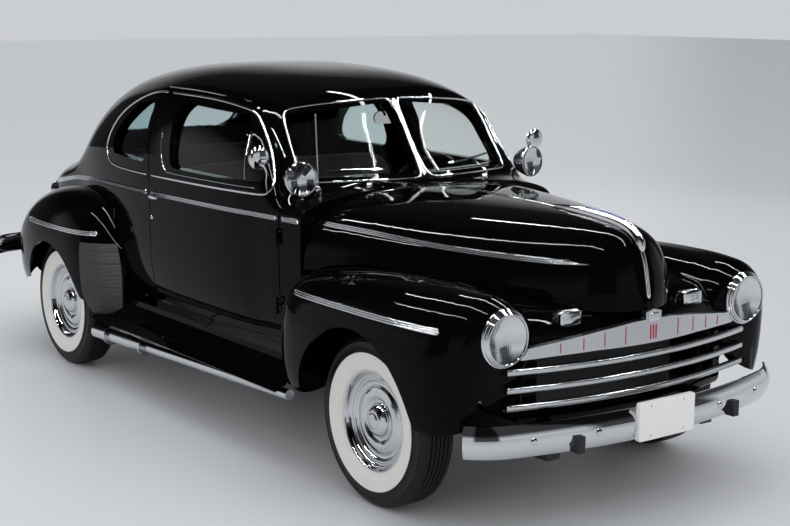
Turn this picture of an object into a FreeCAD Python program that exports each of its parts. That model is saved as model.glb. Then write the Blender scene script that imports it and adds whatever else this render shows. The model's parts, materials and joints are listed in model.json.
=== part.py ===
"""Full-size two-door coupe of the 1946 pattern, built as a parametric document.

Frame: +X points forwards, +Y to the car's left, +Z up. The origin lies on the
ground at the middle of the car's length and width. Lengths are millimetres.
Places along the car are shares of the wheelbase behind the front axle, heights
are shares of the roof height and places across are shares of the half width.
"""
import FreeCAD, Part
import math
import os
from types import SimpleNamespace

Vector = FreeCAD.Vector
DOC = FreeCAD.newDocument("coupe")
SHEET = DOC.addObject("Spreadsheet::Sheet", "sizes")

SIZES = (
    ("overall_length", 4984, "front bumper's face to rear bumper's face"),
    ("overall_width", 1862, "across the rear fenders"),
    ("overall_height", 1696, "ground to roof"),
    ("wheelbase", 2896, "front axle to rear axle"),
    ("front_overhang", 830, "front axle to the front of the number plate"),
    ("front_track", 1473, "between the front tyres' middles"),
    ("rear_track", 1506, "between the rear tyres' middles"),
    ("tyre_radius", 350, "ground to axle"),
    ("tyre_width", 180, "across the tyre's section"),
    ("rim_radius", 203, "bead seat of the rim"),
    ("rim_width", 146, "between the rim's outer lips"),
    ("rim_thickness", 5, "rolled steel of the wheel"),
    ("hub_radius", 76, "wheel's middle at the studs"),
    ("cap_radius", 62, "domed centre cap"),
    ("arch_gap", 44, "tyre to the edge of the arch"),
    ("rear_opening", 345, "radius of the hole in the rear fender"),
    ("wall_thickness", 46, "doors, pillars and roof"),
    ("sheet_thickness", 12, "fenders, hood and panels"),
    ("glass_thickness", 6, "every pane"),
    ("glass_depth", 20, "skin to the pane"),
    ("shut_gap", 7, "round the doors, the hood and the deck lid"),
    ("seat_gap", 0.3, "between pieces that rest on each other"),
    ("overrun", 40, "cutting tools reach past the work"),
    ("windscreen_bow", 120, "screen's corners behind its middle"),
    ("lamp_radius", 113, "headlamp ring"),
    ("lamp_depth", 34, "headlamp ring, front to back"),
    ("grille_bow", 92, "bars' ends behind their middle"),
    ("bar_height", 25, "grille bar"),
    ("bar_depth", 15, "half of a grille bar's depth"),
    ("bumper_height", 126, "front bumper blade"),
    ("bumper_depth", 24, "bumper blade's crown, front to back"),
    ("bumper_thickness", 9, "bumper blade"),
    ("rear_bumper_height", 112, "rear bumper blade"),
    ("plate_width", 305, "number plate"),
    ("plate_height", 152, "number plate"),
    ("plate_thickness", 3, "number plate"),
    ("rail_height", 110, "frame side rail"),
    ("rail_width", 64, "frame side rail"),
    ("jack_pad_thickness", 10, "pads under the side rails"),
    ("axle_radius", 32, "front beam axle"),
    ("axle_tube_radius", 38, "rear axle tube"),
    ("spindle_radius", 17, "front wheel spindle"),
    ("kingpin_inset", 92, "tyre's middle to the kingpin"),
    ("wheel_clearance", 6, "wheel to knuckle and to axle flange"),
    ("pipe_radius", 24, "lake pipe's tube"),
    ("cone_radius", 40, "lake pipe's capped end"),
    ("running_gap", 0.05, "shaft to bore"),
    ("hinge_radius", 8, "barrels of the door, hood and lid hinges"),
    ("hinge_length", 72, "barrels of a hinge together"),
    ("seat_lean", 14, "backrests, in degrees"),
    ("shield_thickness", 3, "gravel shield on the rear fender"),
    ("handle_length", 105, "door handle"),
    ("handle_radius", 9, "door handle's grip"),
    ("handle_stand", 34, "door handle off the skin"),
    ("mirror_radius", 52, "round door mirror"),
    ("steering_wheel_radius", 205, "steering wheel's rim"),
    ("steering_rim_radius", 11, "steering wheel's grip"),
    ("column_radius", 20, "steering column"),
    ("spotlamp_radius", 76, "spot lamp"),
    ("seat_width", 1270, "bench seat"),
    ("cushion_height", 175, "bench cushion"),
    ("engine_length", 760, "engine block, front to back"),
    ("engine_width", 500, "engine block across its heads"),
    ("engine_height", 470, "engine block and manifold"),
)


def write_sheet():
    """Put each named size in a cell of its own, with its name and its note."""
    for row, (name, value, note) in enumerate(SIZES, start=1):
        SHEET.set("A%d" % row, name)
        SHEET.set("B%d" % row, str(value))
        SHEET.set("C%d" % row, note)
        SHEET.setAlias("B%d" % row, name)
    DOC.recompute()
    return SimpleNamespace(**{name: float(SHEET.get(name)) for name, _, _ in SIZES})


D = write_sheet()
HALF_LENGTH = D.overall_length / 2
HALF_WIDTH = D.overall_width / 2
FRONT_AXLE = HALF_LENGTH - D.front_overhang
REAR_AXLE = FRONT_AXLE - D.wheelbase
ARCH_RADIUS = D.tyre_radius + D.arch_gap

# Body stations: place, half width, belt height, top, bottom, roundness above and
# below the belt, and how much of the windscreen's bow the station carries.
BODY_SHARES = (
    (0.224, 0.779, 0.628, 0.700, 0.236, 2.4, 6.0, 0.00),
    (0.232, 0.785, 0.628, 0.705, 0.236, 2.4, 6.0, 0.35),
    (0.240, 0.791, 0.628, 0.711, 0.236, 2.5, 6.0, 0.75),
    (0.250, 0.797, 0.628, 0.722, 0.236, 2.7, 6.0, 1.00),
    (0.262, 0.800, 0.628, 0.750, 0.236, 2.8, 6.0, 1.00),
    (0.275, 0.802, 0.627, 0.781, 0.236, 3.0, 6.0, 1.00),
    (0.290, 0.805, 0.627, 0.817, 0.236, 3.1, 6.0, 1.00),
    (0.305, 0.809, 0.627, 0.853, 0.236, 3.2, 6.0, 1.00),
    (0.318, 0.813, 0.627, 0.884, 0.236, 3.3, 6.0, 0.95),
    (0.330, 0.816, 0.627, 0.910, 0.236, 3.3, 6.0, 0.88),
    (0.345, 0.820, 0.627, 0.930, 0.236, 3.3, 6.0, 0.78),
    (0.365, 0.824, 0.627, 0.947, 0.236, 3.3, 6.0, 0.65),
    (0.410, 0.832, 0.627, 0.967, 0.236, 3.3, 6.0, 0.40),
    (0.470, 0.839, 0.627, 0.984, 0.236, 3.3, 6.0, 0.18),
    (0.550, 0.843, 0.626, 0.995, 0.236, 3.3, 6.0, 0.04),
    (0.620, 0.843, 0.625, 1.000, 0.236, 3.3, 6.0, 0.00),
    (0.690, 0.837, 0.623, 0.998, 0.236, 3.3, 6.0, 0.00),
    (0.760, 0.823, 0.621, 0.992, 0.236, 3.2, 6.0, 0.00),
    (0.830, 0.801, 0.618, 0.980, 0.236, 3.1, 6.0, 0.00),
    (0.890, 0.778, 0.615, 0.965, 0.236, 3.0, 6.0, 0.00),
    (0.940, 0.753, 0.611, 0.944, 0.236, 2.9, 6.0, 0.00),
    (0.985, 0.726, 0.607, 0.913, 0.236, 2.8, 6.0, 0.00),
    (1.020, 0.702, 0.604, 0.878, 0.236, 2.7, 6.0, 0.00),
    (1.050, 0.681, 0.598, 0.836, 0.236, 2.6, 6.0, 0.00),
    (1.080, 0.662, 0.593, 0.782, 0.239, 2.5, 5.5, 0.00),
    (1.105, 0.648, 0.588, 0.735, 0.242, 2.4, 5.5, 0.00),
    (1.130, 0.635, 0.582, 0.700, 0.248, 2.4, 5.0, 0.00),
    (1.162, 0.618, 0.573, 0.679, 0.251, 2.3, 5.0, 0.00),
    (1.200, 0.597, 0.563, 0.664, 0.259, 2.2, 4.5, 0.00),
    (1.242, 0.568, 0.551, 0.643, 0.265, 2.2, 4.0, 0.00),
    (1.285, 0.530, 0.536, 0.614, 0.271, 2.1, 4.0, 0.00),
    (1.325, 0.482, 0.517, 0.578, 0.277, 2.1, 3.5, 0.00),
    (1.358, 0.428, 0.494, 0.538, 0.282, 2.0, 3.0, 0.00),
    (1.385, 0.360, 0.462, 0.495, 0.288, 2.0, 3.0, 0.00),
    (1.402, 0.260, 0.421, 0.446, 0.295, 2.0, 3.0, 0.00),
    (1.409, 0.160, 0.388, 0.406, 0.301, 2.0, 3.0, 0.00),
)
# Hood stations: place, half width, lower edge, top and roundness.
HOOD_SHARES = (
    (0.2215, 0.768, 0.496, 0.700, 3.0),
    (0.180, 0.739, 0.505, 0.701, 2.9),
    (0.120, 0.694, 0.512, 0.700, 2.7),
    (0.060, 0.646, 0.516, 0.698, 2.5),
    (0.000, 0.589, 0.516, 0.696, 2.4),
    (-0.050, 0.534, 0.514, 0.693, 2.3),
    (-0.100, 0.468, 0.510, 0.689, 2.2),
    (-0.140, 0.403, 0.504, 0.684, 2.2),
    (-0.175, 0.334, 0.498, 0.677, 2.2),
    (-0.200, 0.273, 0.495, 0.668, 2.2),
    (-0.216, 0.221, 0.492, 0.653, 2.2),
    (-0.228, 0.171, 0.491, 0.628, 2.2),
    (-0.237, 0.118, 0.491, 0.588, 2.2),
    (-0.242, 0.070, 0.491, 0.541, 2.2),
    (-0.245, 0.032, 0.491, 0.510, 2.2),
)
# Fender stations: place, spine, outer and inner half widths, spine height, rise,
# drop, roundness above and below.
FRONT_FENDER_SHARES = (
    (0.2245, 0.741, 0.128, 0.215, 0.354, 0.112, 0.170, 2.2, 2.6),
    (0.205, 0.741, 0.190, 0.215, 0.366, 0.134, 0.186, 2.3, 2.8),
    (0.180, 0.741, 0.230, 0.247, 0.377, 0.144, 0.196, 2.4, 3.2),
    (0.150, 0.741, 0.249, 0.247, 0.377, 0.154, 0.198, 2.4, 3.4),
    (0.100, 0.741, 0.257, 0.247, 0.377, 0.167, 0.200, 2.4, 3.6),
    (0.050, 0.741, 0.259, 0.247, 0.377, 0.176, 0.200, 2.4, 3.6),
    (0.000, 0.741, 0.259, 0.247, 0.377, 0.181, 0.200, 2.4, 3.6),
    (-0.050, 0.741, 0.258, 0.247, 0.377, 0.184, 0.200, 2.4, 3.6),
    (-0.100, 0.741, 0.254, 0.247, 0.377, 0.184, 0.200, 2.3, 3.6),
    (-0.135, 0.739, 0.247, 0.247, 0.380, 0.180, 0.200, 2.3, 3.6),
    (-0.165, 0.735, 0.234, 0.242, 0.388, 0.168, 0.203, 2.2, 3.5),
    (-0.185, 0.728, 0.215, 0.231, 0.406, 0.147, 0.212, 2.2, 3.2),
    (-0.199, 0.720, 0.190, 0.210, 0.427, 0.117, 0.218, 2.1, 2.8),
    (-0.208, 0.713, 0.158, 0.176, 0.450, 0.087, 0.194, 2.0, 2.3),
    (-0.213, 0.709, 0.122, 0.122, 0.465, 0.067, 0.080, 2.0, 2.0),
)
REAR_FENDER_SHARES = (
    (0.795, 0.752, 0.060, 0.161, 0.300, 0.100, 0.115, 2.2, 2.6),
    (0.815, 0.752, 0.140, 0.161, 0.330, 0.130, 0.145, 2.2, 2.6),
    (0.840, 0.752, 0.190, 0.165, 0.365, 0.155, 0.180, 2.2, 2.8),
    (0.870, 0.752, 0.226, 0.180, 0.395, 0.164, 0.208, 2.2, 3.2),
    (0.905, 0.752, 0.242, 0.190, 0.413, 0.166, 0.222, 2.2, 3.6),
    (0.950, 0.752, 0.248, 0.193, 0.418, 0.167, 0.224, 2.2, 3.8),
    (1.000, 0.752, 0.248, 0.193, 0.419, 0.166, 0.224, 2.2, 3.8),
    (1.050, 0.749, 0.245, 0.193, 0.416, 0.160, 0.224, 2.2, 3.8),
    (1.100, 0.742, 0.236, 0.193, 0.408, 0.148, 0.219, 2.2, 3.6),
    (1.150, 0.730, 0.221, 0.193, 0.392, 0.134, 0.208, 2.1, 3.4),
    (1.195, 0.710, 0.200, 0.193, 0.370, 0.117, 0.193, 2.1, 3.0),
    (1.230, 0.685, 0.174, 0.184, 0.349, 0.099, 0.173, 2.0, 2.8),
    (1.260, 0.653, 0.137, 0.161, 0.327, 0.073, 0.141, 2.0, 2.4),
    (1.277, 0.628, 0.086, 0.107, 0.315, 0.047, 0.094, 2.0, 2.0),
)
# Outlines on the car's side: place, height and corner radius.
DOOR_SHARES = (
    (0.2755, 0.272, 0.030), (0.2755, 0.655, 0.060), (0.317, 0.751, 0.400),
    (0.354, 0.846, 0.300), (0.412, 0.912, 0.120), (0.681, 0.922, 0.035),
    (0.6715, 0.623, 0.600), (0.6735, 0.272, 0.030),
)
DOOR_GLASS_SHARES = (
    (0.312, 0.706, 0.025), (0.402, 0.876, 0.060), (0.610, 0.893, 0.040), (0.594, 0.710, 0.030),
)
QUARTER_GLASS_SHARES = (
    (0.697, 0.884, 0.030), (0.686, 0.709, 0.030), (0.850, 0.716, 0.050), (0.832, 0.790, 0.130),
    (0.770, 0.877, 0.090),
)
WINDSCREEN_SHARES = ((0.018, 0.722), (0.625, 0.722), (0.598, 0.882), (0.018, 0.908))
REAR_WINDOW_SHARES = (0.395, 0.745, 0.865)
DECK_LID_SHARES = (1.140, 1.402, 0.500, 0.400)
# Front panel's outer profile from its lower edge up and back, and its lean shares.
PANEL_SHARES = (
    (-0.232, 0.255), (-0.236, 0.275), (-0.2365, 0.33), (-0.2365, 0.39), (-0.235, 0.44), (-0.228, 0.478),
    (-0.208, 0.500), (-0.180, 0.510), (-0.14, 0.519), (-0.11, 0.530), (-0.085, 0.538), (-0.080, 0.540),
)
PANEL_LEAN_SHARES = (0, 0, 0, 0, 0, 0.3, 0.8, 1, 1, 1, 1, 1)
GRILLE_BAR_SHARES = (0.3075, 0.347, 0.3875)
CREST_SHARES = ((0.0, 0.496), (0.045, 0.490), (0.045, 0.440), (0.028, 0.424), (0.0, 0.418))
CROWN_SHARES = ((0.0, 0.474), (0.12, 0.472), (0.30, 0.461), (0.48, 0.447), (0.64, 0.433), (0.64, 0.411),
                (0.48, 0.416), (0.30, 0.419), (0.12, 0.418), (0.0, 0.418))
# Bumper blades: half width, corner radius, sweep and wrap in degrees, and level.
FRONT_BLADE_SHARES = (0.915, 0.35, 16, 50, 0.2475)
REAR_BLADE_SHARES = (0.925, 0.26, 12, 86, 0.300)
PLATE_LEVEL_SHARE = 0.2535
RAIL_SHARE = 0.46
JACK_PAD_SHARE = 0.45
SCREEN_EDGE_SHARE = 0.615
DOOR_RELIEF_SHARE = 0.0015
HINGE_SKIN_SHARE = 0.806
# The doors' lower part lies outboard of the sill, so that it swings clear of the rear pillars.
SILL_SHARE = 0.715
HINGE_LEVEL_SHARES = (0.40, 0.58)
DECK_HINGE_SHARE = 0.6935
# How far the lid's edges lean, so that its lower edge swings clear of the tail.
DECK_LEAN_SHARE = 0.17
# Parts of a right angle at which the lifted hood passes closest to the fenders.
HOOD_TURN_SHARES = (0, 0.15, 0.23)
CROSS_MEMBER_SHARES = (-0.15, 0.06, 0.36, 0.62, 0.86, 1.13, 1.33)
BOARD_SHARES = ((0.790, 0.272), (0.800, 0.258), (0.830, 0.236), (0.870, 0.215), (0.915, 0.203),
                (0.928, 0.200))


def along(share):
    """Place along the car of a share of the wheelbase behind the front axle."""
    return FRONT_AXLE - share * D.wheelbase


def height(share):
    return share * D.overall_height


def across(share):
    return share * HALF_WIDTH


def box(low, high):
    """Solid box between two corners."""
    return Part.makeBox(high.x - low.x, high.y - low.y, high.z - low.z, low)


def rod(start, end, radius):
    """Solid cylinder between two points."""
    return Part.makeCylinder(radius, (end - start).Length, start, end - start)


def mirrored(shape):
    """The shape's twin on the other side of the car."""
    return shape.mirror(Vector(0, 0, 0), Vector(0, 1, 0))


def pair(shape):
    """The shape with its twin, as solids that don't touch."""
    return Part.makeCompound(shape.Solids + mirrored(shape).Solids)


def largest(shape):
    """The biggest solid of a shape."""
    return max(shape.Solids, key=lambda solid: solid.Volume)


def edges_along(shape, direction):
    """Straight edges of a shape that run along a direction."""
    found = []
    for edge in shape.Edges:
        if abs(edge.tangentAt(edge.FirstParameter).dot(direction)) > 0.99:
            found.append(edge)
    return found


def unit_arc(start, end, power, count):
    """Unit points of the stretched circle |c|^power + |s|^power = 1 between two angles."""
    points = []
    for index in range(count + 1):
        angle = start + (end - start) * index / count
        c = math.cos(angle)
        s = math.sin(angle)
        k = (abs(c) ** power + abs(s) ** power) ** (-1 / power)
        points.append((c * k, s * k))
    return points


def ring(centre, side, out, inner, rise, drop, upper, lower, bow=0.0, count=28):
    """Closed section about a centre, a stretched circle above and another below.

    side is the unit vector towards the out half width. bow pulls the sides back
    along X, by the share of the half width to the power of one and a half.
    """
    points = []
    for index in range(count):
        angle = 2 * math.pi * index / count - math.pi / 2
        power = upper if angle > 0 and angle < math.pi else lower
        c = math.cos(angle)
        s = math.sin(angle)
        k = (abs(c) ** power + abs(s) ** power) ** (-1 / power)
        width = out if c >= 0 else inner
        reach = rise if s >= 0 else drop
        point = centre + side * (width * c * k) + Vector(0, 0, reach * s * k)
        points.append(point - Vector(bow * abs(c * k) ** 1.5, 0, 0))
    return points


def knots(count, closed):
    """Even knots of a cubic over count control points, with their multiplicities."""
    if closed:
        return [float(index) for index in range(count + 1)], [1] * (count + 1)
    spans = count - 3
    return [float(index) for index in range(spans + 1)], [4] + [1] * (spans - 1) + [4]


def skinned(rows, closed=True):
    """Solid whose skin is a cubic surface over rows of control points.

    Closed rows go round the form. Open rows are arches, whose feet are joined by a floor.
    The first and last rows lie in planes, which close the ends.
    """
    row_knots, row_counts = knots(len(rows), False)
    point_knots, point_counts = knots(len(rows[0]), closed)
    surface = Part.BSplineSurface()
    surface.buildFromPolesMultsKnots(rows, row_counts, point_counts, row_knots, point_knots,
                                     False, closed, 3, 3)
    skin = surface.toShape()
    faces = [skin]
    if closed:
        for edge in skin.Edges:
            if not edge.isSeam(skin):
                faces.append(Part.Face(Part.Wire([edge])))
    else:
        feet = []
        for index in (0, -1):
            start = rows[index][0]
            finish = rows[index][-1]
            floor_edge = Part.LineSegment(finish, start).toShape()
            arch = min(skin.Edges, key=lambda edge: (edge.CenterOfMass - skin_end(rows, index)).Length)
            faces.append(Part.Face(Part.Wire([arch, floor_edge])))
        for index in (0, -1):
            points = [row[index] for row in rows]
            feet.append(foot_edge(points))
        faces.append(Part.makeRuledSurface(feet[0], feet[1]))
    shell = Part.Shell(faces)
    shell.sewShape()
    solid = Part.Solid(shell)
    if solid.Volume < 0:
        solid.reverse()
    return solid


def skin_end(rows, index):
    """A point near the middle of the end arch's edge."""
    points = rows[index]
    total = Vector(0, 0, 0)
    for point in points:
        total = total + point
    return total / len(points)


def foot_edge(points):
    """Edge with the same even knots as the skin has along its rows."""
    row_knots, row_counts = knots(len(points), False)
    curve = Part.BSplineCurve()
    curve.buildFromPolesMultsKnots(points, row_counts, row_knots, False, 3)
    return curve.toShape()


def thinned(table, every):
    """The stations of a table that a plainer form keeps: every so many, and both ends."""
    last = len(table) - 1
    return [station for index, station in enumerate(table) if index % every == 0 or index == last]


def body_solid(inset, every=1, count=36):
    """The body's outer form, drawn in on every side by inset."""
    first = along(BODY_SHARES[0][0])
    last = along(BODY_SHARES[-1][0])
    middle = (first + last) / 2
    shrink = 1 - inset / ((first - last) / 2)
    rows = []
    for place, half, belt, top, bottom, upper, lower, bow in thinned(BODY_SHARES, every):
        centre = Vector(middle + (along(place) - middle) * shrink, 0, height(belt))
        rise = height(top - belt) - inset
        drop = height(belt - bottom) - inset
        half_width = across(half) - inset
        if min(rise, drop, half_width) > 0:
            rows.append(ring(centre, Vector(0, 1, 0), half_width, half_width, rise, drop,
                             upper, lower, bow * D.windscreen_bow, count))
    return skinned(rows)


def cavity_solid(inset):
    """The cabin's and the boot's hollow, drawn in further by inset."""
    return body_solid(D.wall_thickness + inset, 2, 24)


def hood_solid(inset, lower=0.0):
    """The hood's outer form drawn in by inset and reaching lower by a length."""
    rows = []
    cowl = along(BODY_SHARES[0][0])
    for index, (place, half, edge, top, power) in enumerate(HOOD_SHARES):
        rise = height(top - edge) - inset
        half_width = across(half) - inset
        base = height(edge)
        if min(rise, half_width) <= 0:
            continue
        x = along(place) - 1.4 * inset
        if index == 0:
            x = cowl + D.shut_gap - (D.overrun if inset else 0)
        arch = [Vector(x, half_width * c, base + rise * s) for c, s in unit_arc(0, math.pi, power, 20)]
        foot = Vector(0, 0, lower + D.seat_gap)
        rows.append([arch[0] - foot] + arch + [arch[-1] - foot])
    return skinned(rows, False)


def fender_solid(table, inset, open_below=False, every=1, count=28):
    """A right-hand fender's form drawn in by inset; an open hollow runs down to the ground."""
    first = along(table[0][0])
    last = along(table[-1][0])
    middle = (first + last) / 2
    shrink = 1 - inset / abs((first - last) / 2)
    rows = []
    for place, spine, out, inner, core, rise, drop, upper, lower in thinned(table, every):
        centre = Vector(middle + (along(place) - middle) * shrink, -across(spine), height(core))
        down = height(core) + D.overrun if open_below else height(drop) - inset
        power = 12 if open_below else lower
        sizes = (across(out) - inset, across(inner) - inset, height(rise) - inset)
        if min(sizes) > 0:
            rows.append(ring(centre, Vector(0, -1, 0), sizes[0], sizes[1], sizes[2], down,
                             upper, power, 0, count))
    return skinned(rows)


def rounded_wire(points):
    """Closed wire in the XZ plane through corners given as place, height and radius."""
    corners = [Vector(x, 0, z) for x, z, _ in points]
    arcs = []
    for index, corner in enumerate(corners):
        to_before = corners[index - 1] - corner
        to_after = corners[(index + 1) % len(corners)] - corner
        half_turn = to_before.getAngle(to_after) / 2
        reach = points[index][2] / math.tan(half_turn)
        reach = min(reach, 0.48 * to_before.Length, 0.48 * to_after.Length)
        radius = reach * math.tan(half_turn)
        to_before.normalize()
        to_after.normalize()
        bisector = to_before + to_after
        bisector.normalize()
        middle = corner + bisector * (radius / math.sin(half_turn) - radius)
        arcs.append((corner + to_before * reach, middle, corner + to_after * reach))
    edges = []
    for index, (start, middle, end) in enumerate(arcs):
        edges.append(Part.LineSegment(arcs[index - 1][2], start).toShape())
        edges.append(Part.Arc(start, middle, end).toShape())
    return Part.Wire(edges)


def side_prism(shares, grow=0.0):
    """Solid through the right side of the car, from the windscreen's edge outwards."""
    points = [(along(x), height(z), height(radius)) for x, z, radius in shares]
    wire = rounded_wire(points)
    if grow:
        wire = wire.makeOffset2D(grow)
    prism = Part.Face(wire).extrude(Vector(0, -(HALF_WIDTH + D.overrun), 0))
    prism.translate(Vector(0, -across(SCREEN_EDGE_SHARE) + grow, 0))
    return prism


def arc_bar(front, bow, half_width, level, depth, rise, corner):
    """Bar of a rounded oblong section, bent in plan to an arc whose ends lie behind its middle."""
    radius = (half_width ** 2 + bow ** 2) / (2 * bow)
    sweep = math.degrees(math.asin(half_width / radius))
    low = level - rise
    high = level + rise
    face = Part.Face(rounded_wire([(front - 2 * depth, low, corner), (front, low, corner),
                                   (front, high, corner), (front - 2 * depth, high, corner)]))
    centre = Vector(front - radius, 0, 0)
    face.rotate(centre, Vector(0, 0, 1), -sweep)
    return face.revolve(centre, Vector(0, 0, 1), 2 * sweep)


def front_view(corners):
    """Solid along the whole car with an outline seen from the front, given for one half."""
    points = [Vector(-HALF_LENGTH, across(y), height(z)) for y, z in corners]
    points = points + [Vector(p.x, -p.y, p.z) for p in points[::-1]]
    clean = [point for index, point in enumerate(points) if (point - points[index - 1]).Length > 0]
    return Part.Face(Part.makePolygon(clean + clean[:1])).extrude(Vector(2 * D.overall_length, 0, 0))


def blade(front, half_width, end_radius, sweep, wrap, level, rise, grow=0.0):
    """Bumper blade of a crescent section: a wide arc between two tight ones at the corners."""
    turn = math.radians(sweep)
    last = math.radians(wrap)
    wide = (half_width - end_radius * math.sin(last)) / math.sin(turn) + end_radius
    thick = D.bumper_thickness
    low = Vector(front - D.bumper_depth - grow, 0, level - rise - grow)
    high = Vector(front - D.bumper_depth - grow, 0, level + rise + grow)
    outer = Part.Arc(low, Vector(front + grow, 0, level), high).toShape()
    step = Vector(thick + 2 * grow, 0, 0)
    inner = Part.Arc(low - step, Vector(front - thick - grow, 0, level), high - step).toShape()
    edges = [outer, Part.LineSegment(high, high - step).toShape(), inner,
             Part.LineSegment(low - step, low).toShape()]
    face = Part.Face(Part.Wire(Part.__sortEdges__(edges)))
    up = Vector(0, 0, 1)
    middle = Vector(front - wide, 0, 0)
    start = face.copy()
    start.rotate(middle, up, -sweep)
    pieces = [start.revolve(middle, up, 2 * sweep)]
    for sign in (-1, 1):
        side = face.copy()
        side.rotate(middle, up, sign * sweep)
        corner = middle + Vector(math.cos(turn), sign * math.sin(turn), 0) * (wide - end_radius)
        pieces.append(side.revolve(corner, up, sign * (wrap - sweep)))
    return pieces[0].multiFuse(pieces[1:]).removeSplitter()


def turned(profile, centre, axis):
    """Solid of revolution: profile of radius and distance along the axis, from a centre."""
    base = FreeCAD.Rotation(Vector(1, 0, 0), axis)
    points = [Vector(out, radius, 0) for radius, out in profile]
    face = Part.Face(Part.makePolygon(points + points[:1]))
    solid = face.revolve(Vector(0, 0, 0), Vector(1, 0, 0), 360)
    solid.Placement = FreeCAD.Placement(centre, base)
    if solid.Volume < 0:
        solid.reverse()
    return solid


NODES = {}


def keep(node, shape):
    """Make a document object of a shape and list it as a sub-part."""
    thing = DOC.addObject("Part::Feature", node)
    thing.Shape = shape
    thing.Label = node
    NODES[node] = thing
    return thing


def arch_tool(axle, track, radius):
    """Right-hand cylinder that clears a wheel."""
    inner = track / 2 - D.tyre_width / 2 - D.arch_gap
    return rod(Vector(axle, -inner, D.tyre_radius), Vector(axle, -HALF_WIDTH - D.overrun, D.tyre_radius),
               radius)


def windscreen_prism(grow=0.0):
    """Two openings through the screen, one on each side of the centre bar."""
    back = along(0.42)
    points = [Vector(back, across(y), height(z)) for y, z in WINDSCREEN_SHARES]
    wire = Part.makePolygon(points + points[:1])
    if grow:
        wire = wire.makeOffset2D(grow)
    prism = Part.Face(wire).extrude(Vector(along(0.2) - back, 0, 0))
    outer = [edge for edge in edges_along(prism, Vector(1, 0, 0)) if edge.Vertexes[0].Y > across(0.3)]
    prism = prism.makeFillet(height(0.02), outer)
    return Part.makeCompound([prism, mirrored(prism)])


def rear_window_prism(grow=0.0):
    """Wide rounded opening in the back of the roof."""
    half, low, high = REAR_WINDOW_SHARES
    tool = box(Vector(along(1.13), -across(half) - grow, height(low) - grow),
               Vector(along(0.95), across(half) + grow, height(high) + grow))
    return tool.makeFillet(height(0.04), edges_along(tool, Vector(1, 0, 0)))


def deck_prism(grow=0.0):
    """Rounded outline of the deck lid, seen square to the tail's slope."""
    front, back, upper_half, lower_half = DECK_LID_SHARES
    start = Vector(along(front), 0, height(0.700))
    finish = Vector(along(back), 0, height(0.400))
    down = finish - start
    length = down.Length
    down.normalize()
    out = Vector(down.z, 0, -down.x)
    if out.z < 0:
        out = out * -1
    out = out + down * DECK_LEAN_SHARE
    top = across(upper_half) + grow
    low = across(lower_half) + grow
    start = start - down * grow - out * (length * 0.2)
    finish = finish + down * grow - out * (length * 0.2)
    corners = [start + Vector(0, top, 0), start - Vector(0, top, 0),
               finish - Vector(0, low, 0), finish + Vector(0, low, 0)]
    prism = Part.Face(Part.makePolygon(corners + corners[:1])).extrude(out * (length * 0.75))
    return prism.makeFillet(across(0.15), edges_along(prism, out.normalize()))


class Forms:
    """The shared outer forms, each worked out once."""


F = Forms()


def hinge(centre, axis, fixed_foot, moving_foot):
    """Barrels on a pin: two ears on the body and a knuckle on what turns, with their straps.

    Returns the fixed piece, the moving piece and the room that each needs in the other.
    """
    step = axis * (D.hinge_length / 6)
    lag = axis * D.shut_gap
    radius = D.hinge_radius
    pin = rod(centre - step * 3, centre + step * 3, radius / 2)
    fixed = [pin]
    for sign in (-1, 1):
        fixed.append(rod(centre + (step + lag / 7) * sign, centre + step * (3 * sign), radius))
        middle = centre + (step * 2) * sign
        fixed.append(rod(middle, fixed_foot + step * (2 * sign), radius * 0.7))
    moving = rod(centre - step, centre + step, radius)
    moving = moving.fuse(rod(centre, moving_foot, radius * 0.7))
    bore = rod(centre - step * 4, centre + step * 4, radius / 2 + D.running_gap)
    moving = moving.cut(bore)
    knuckle_room = rod(centre - step - lag, centre + step + lag, radius + D.shut_gap)
    ear_room = [rod(centre + step * (sign * 0.9), centre + step * (3 * sign) + lag * sign,
                    radius + D.shut_gap)
                for sign in (-1, 1)]
    strap_room = [rod(centre + step * (2 * sign), fixed_foot + step * (2 * sign), radius + D.shut_gap)
                  for sign in (-1, 1)]
    return fixed[0].multiFuse(fixed[1:]), moving, knuckle_room, Part.makeCompound(ear_room + strap_room + [bore])


def place_hinges():
    """The hinges of the doors, the hood and the deck lid."""
    up = Vector(0, 0, 1)
    side = Vector(0, 1, 0)
    seam = along(DOOR_SHARES[0][0]) - D.shut_gap / 2
    skin = across(HINGE_SKIN_SHARE)
    F.door_hinges = []
    for level in HINGE_LEVEL_SHARES:
        centre = Vector(seam, -skin, height(level))
        F.door_hinges.append(hinge(centre, up, centre + Vector(D.wall_thickness, D.wall_thickness, 0),
                                   centre + Vector(-D.wall_thickness, D.wall_thickness, 0)))
    cowl = Vector(along(BODY_SHARES[0][0]) + D.shut_gap / 2, 0, height(HOOD_SHARES[0][3]))
    F.hood_pin = cowl
    F.hood_hinges = [hinge(cowl, side, cowl + Vector(-D.wall_thickness / 2, 0, -D.wall_thickness / 2),
                           cowl + Vector(D.wall_thickness / 2, 0, -D.sheet_thickness * 0.8))]
    F.deck_hinges = []
    for sign in (-1, 1):
        edge = Vector(along(DECK_LID_SHARES[0]) - D.shut_gap / 2, sign * across(0.3),
                      height(DECK_HINGE_SHARE))
        F.deck_hinges.append(hinge(edge, side, edge + Vector(D.wall_thickness * 0.8, 0,
                                                             -D.wall_thickness * 0.6),
                                   edge + Vector(-D.wall_thickness * 0.8, 0, -D.wall_thickness * 0.8)))


def hung(panel, hinges):
    """A moving panel with room for the ears and its knuckles joined on."""
    for _, moving, _, room in hinges:
        panel = panel.cut(room).fuse(moving)
    return largest(panel)


def carried(shell, hinges):
    """The body with room for the knuckles and its ears joined on."""
    for fixed, _, room, _ in hinges:
        shell = shell.cut(room).fuse(fixed)
    return shell


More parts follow.
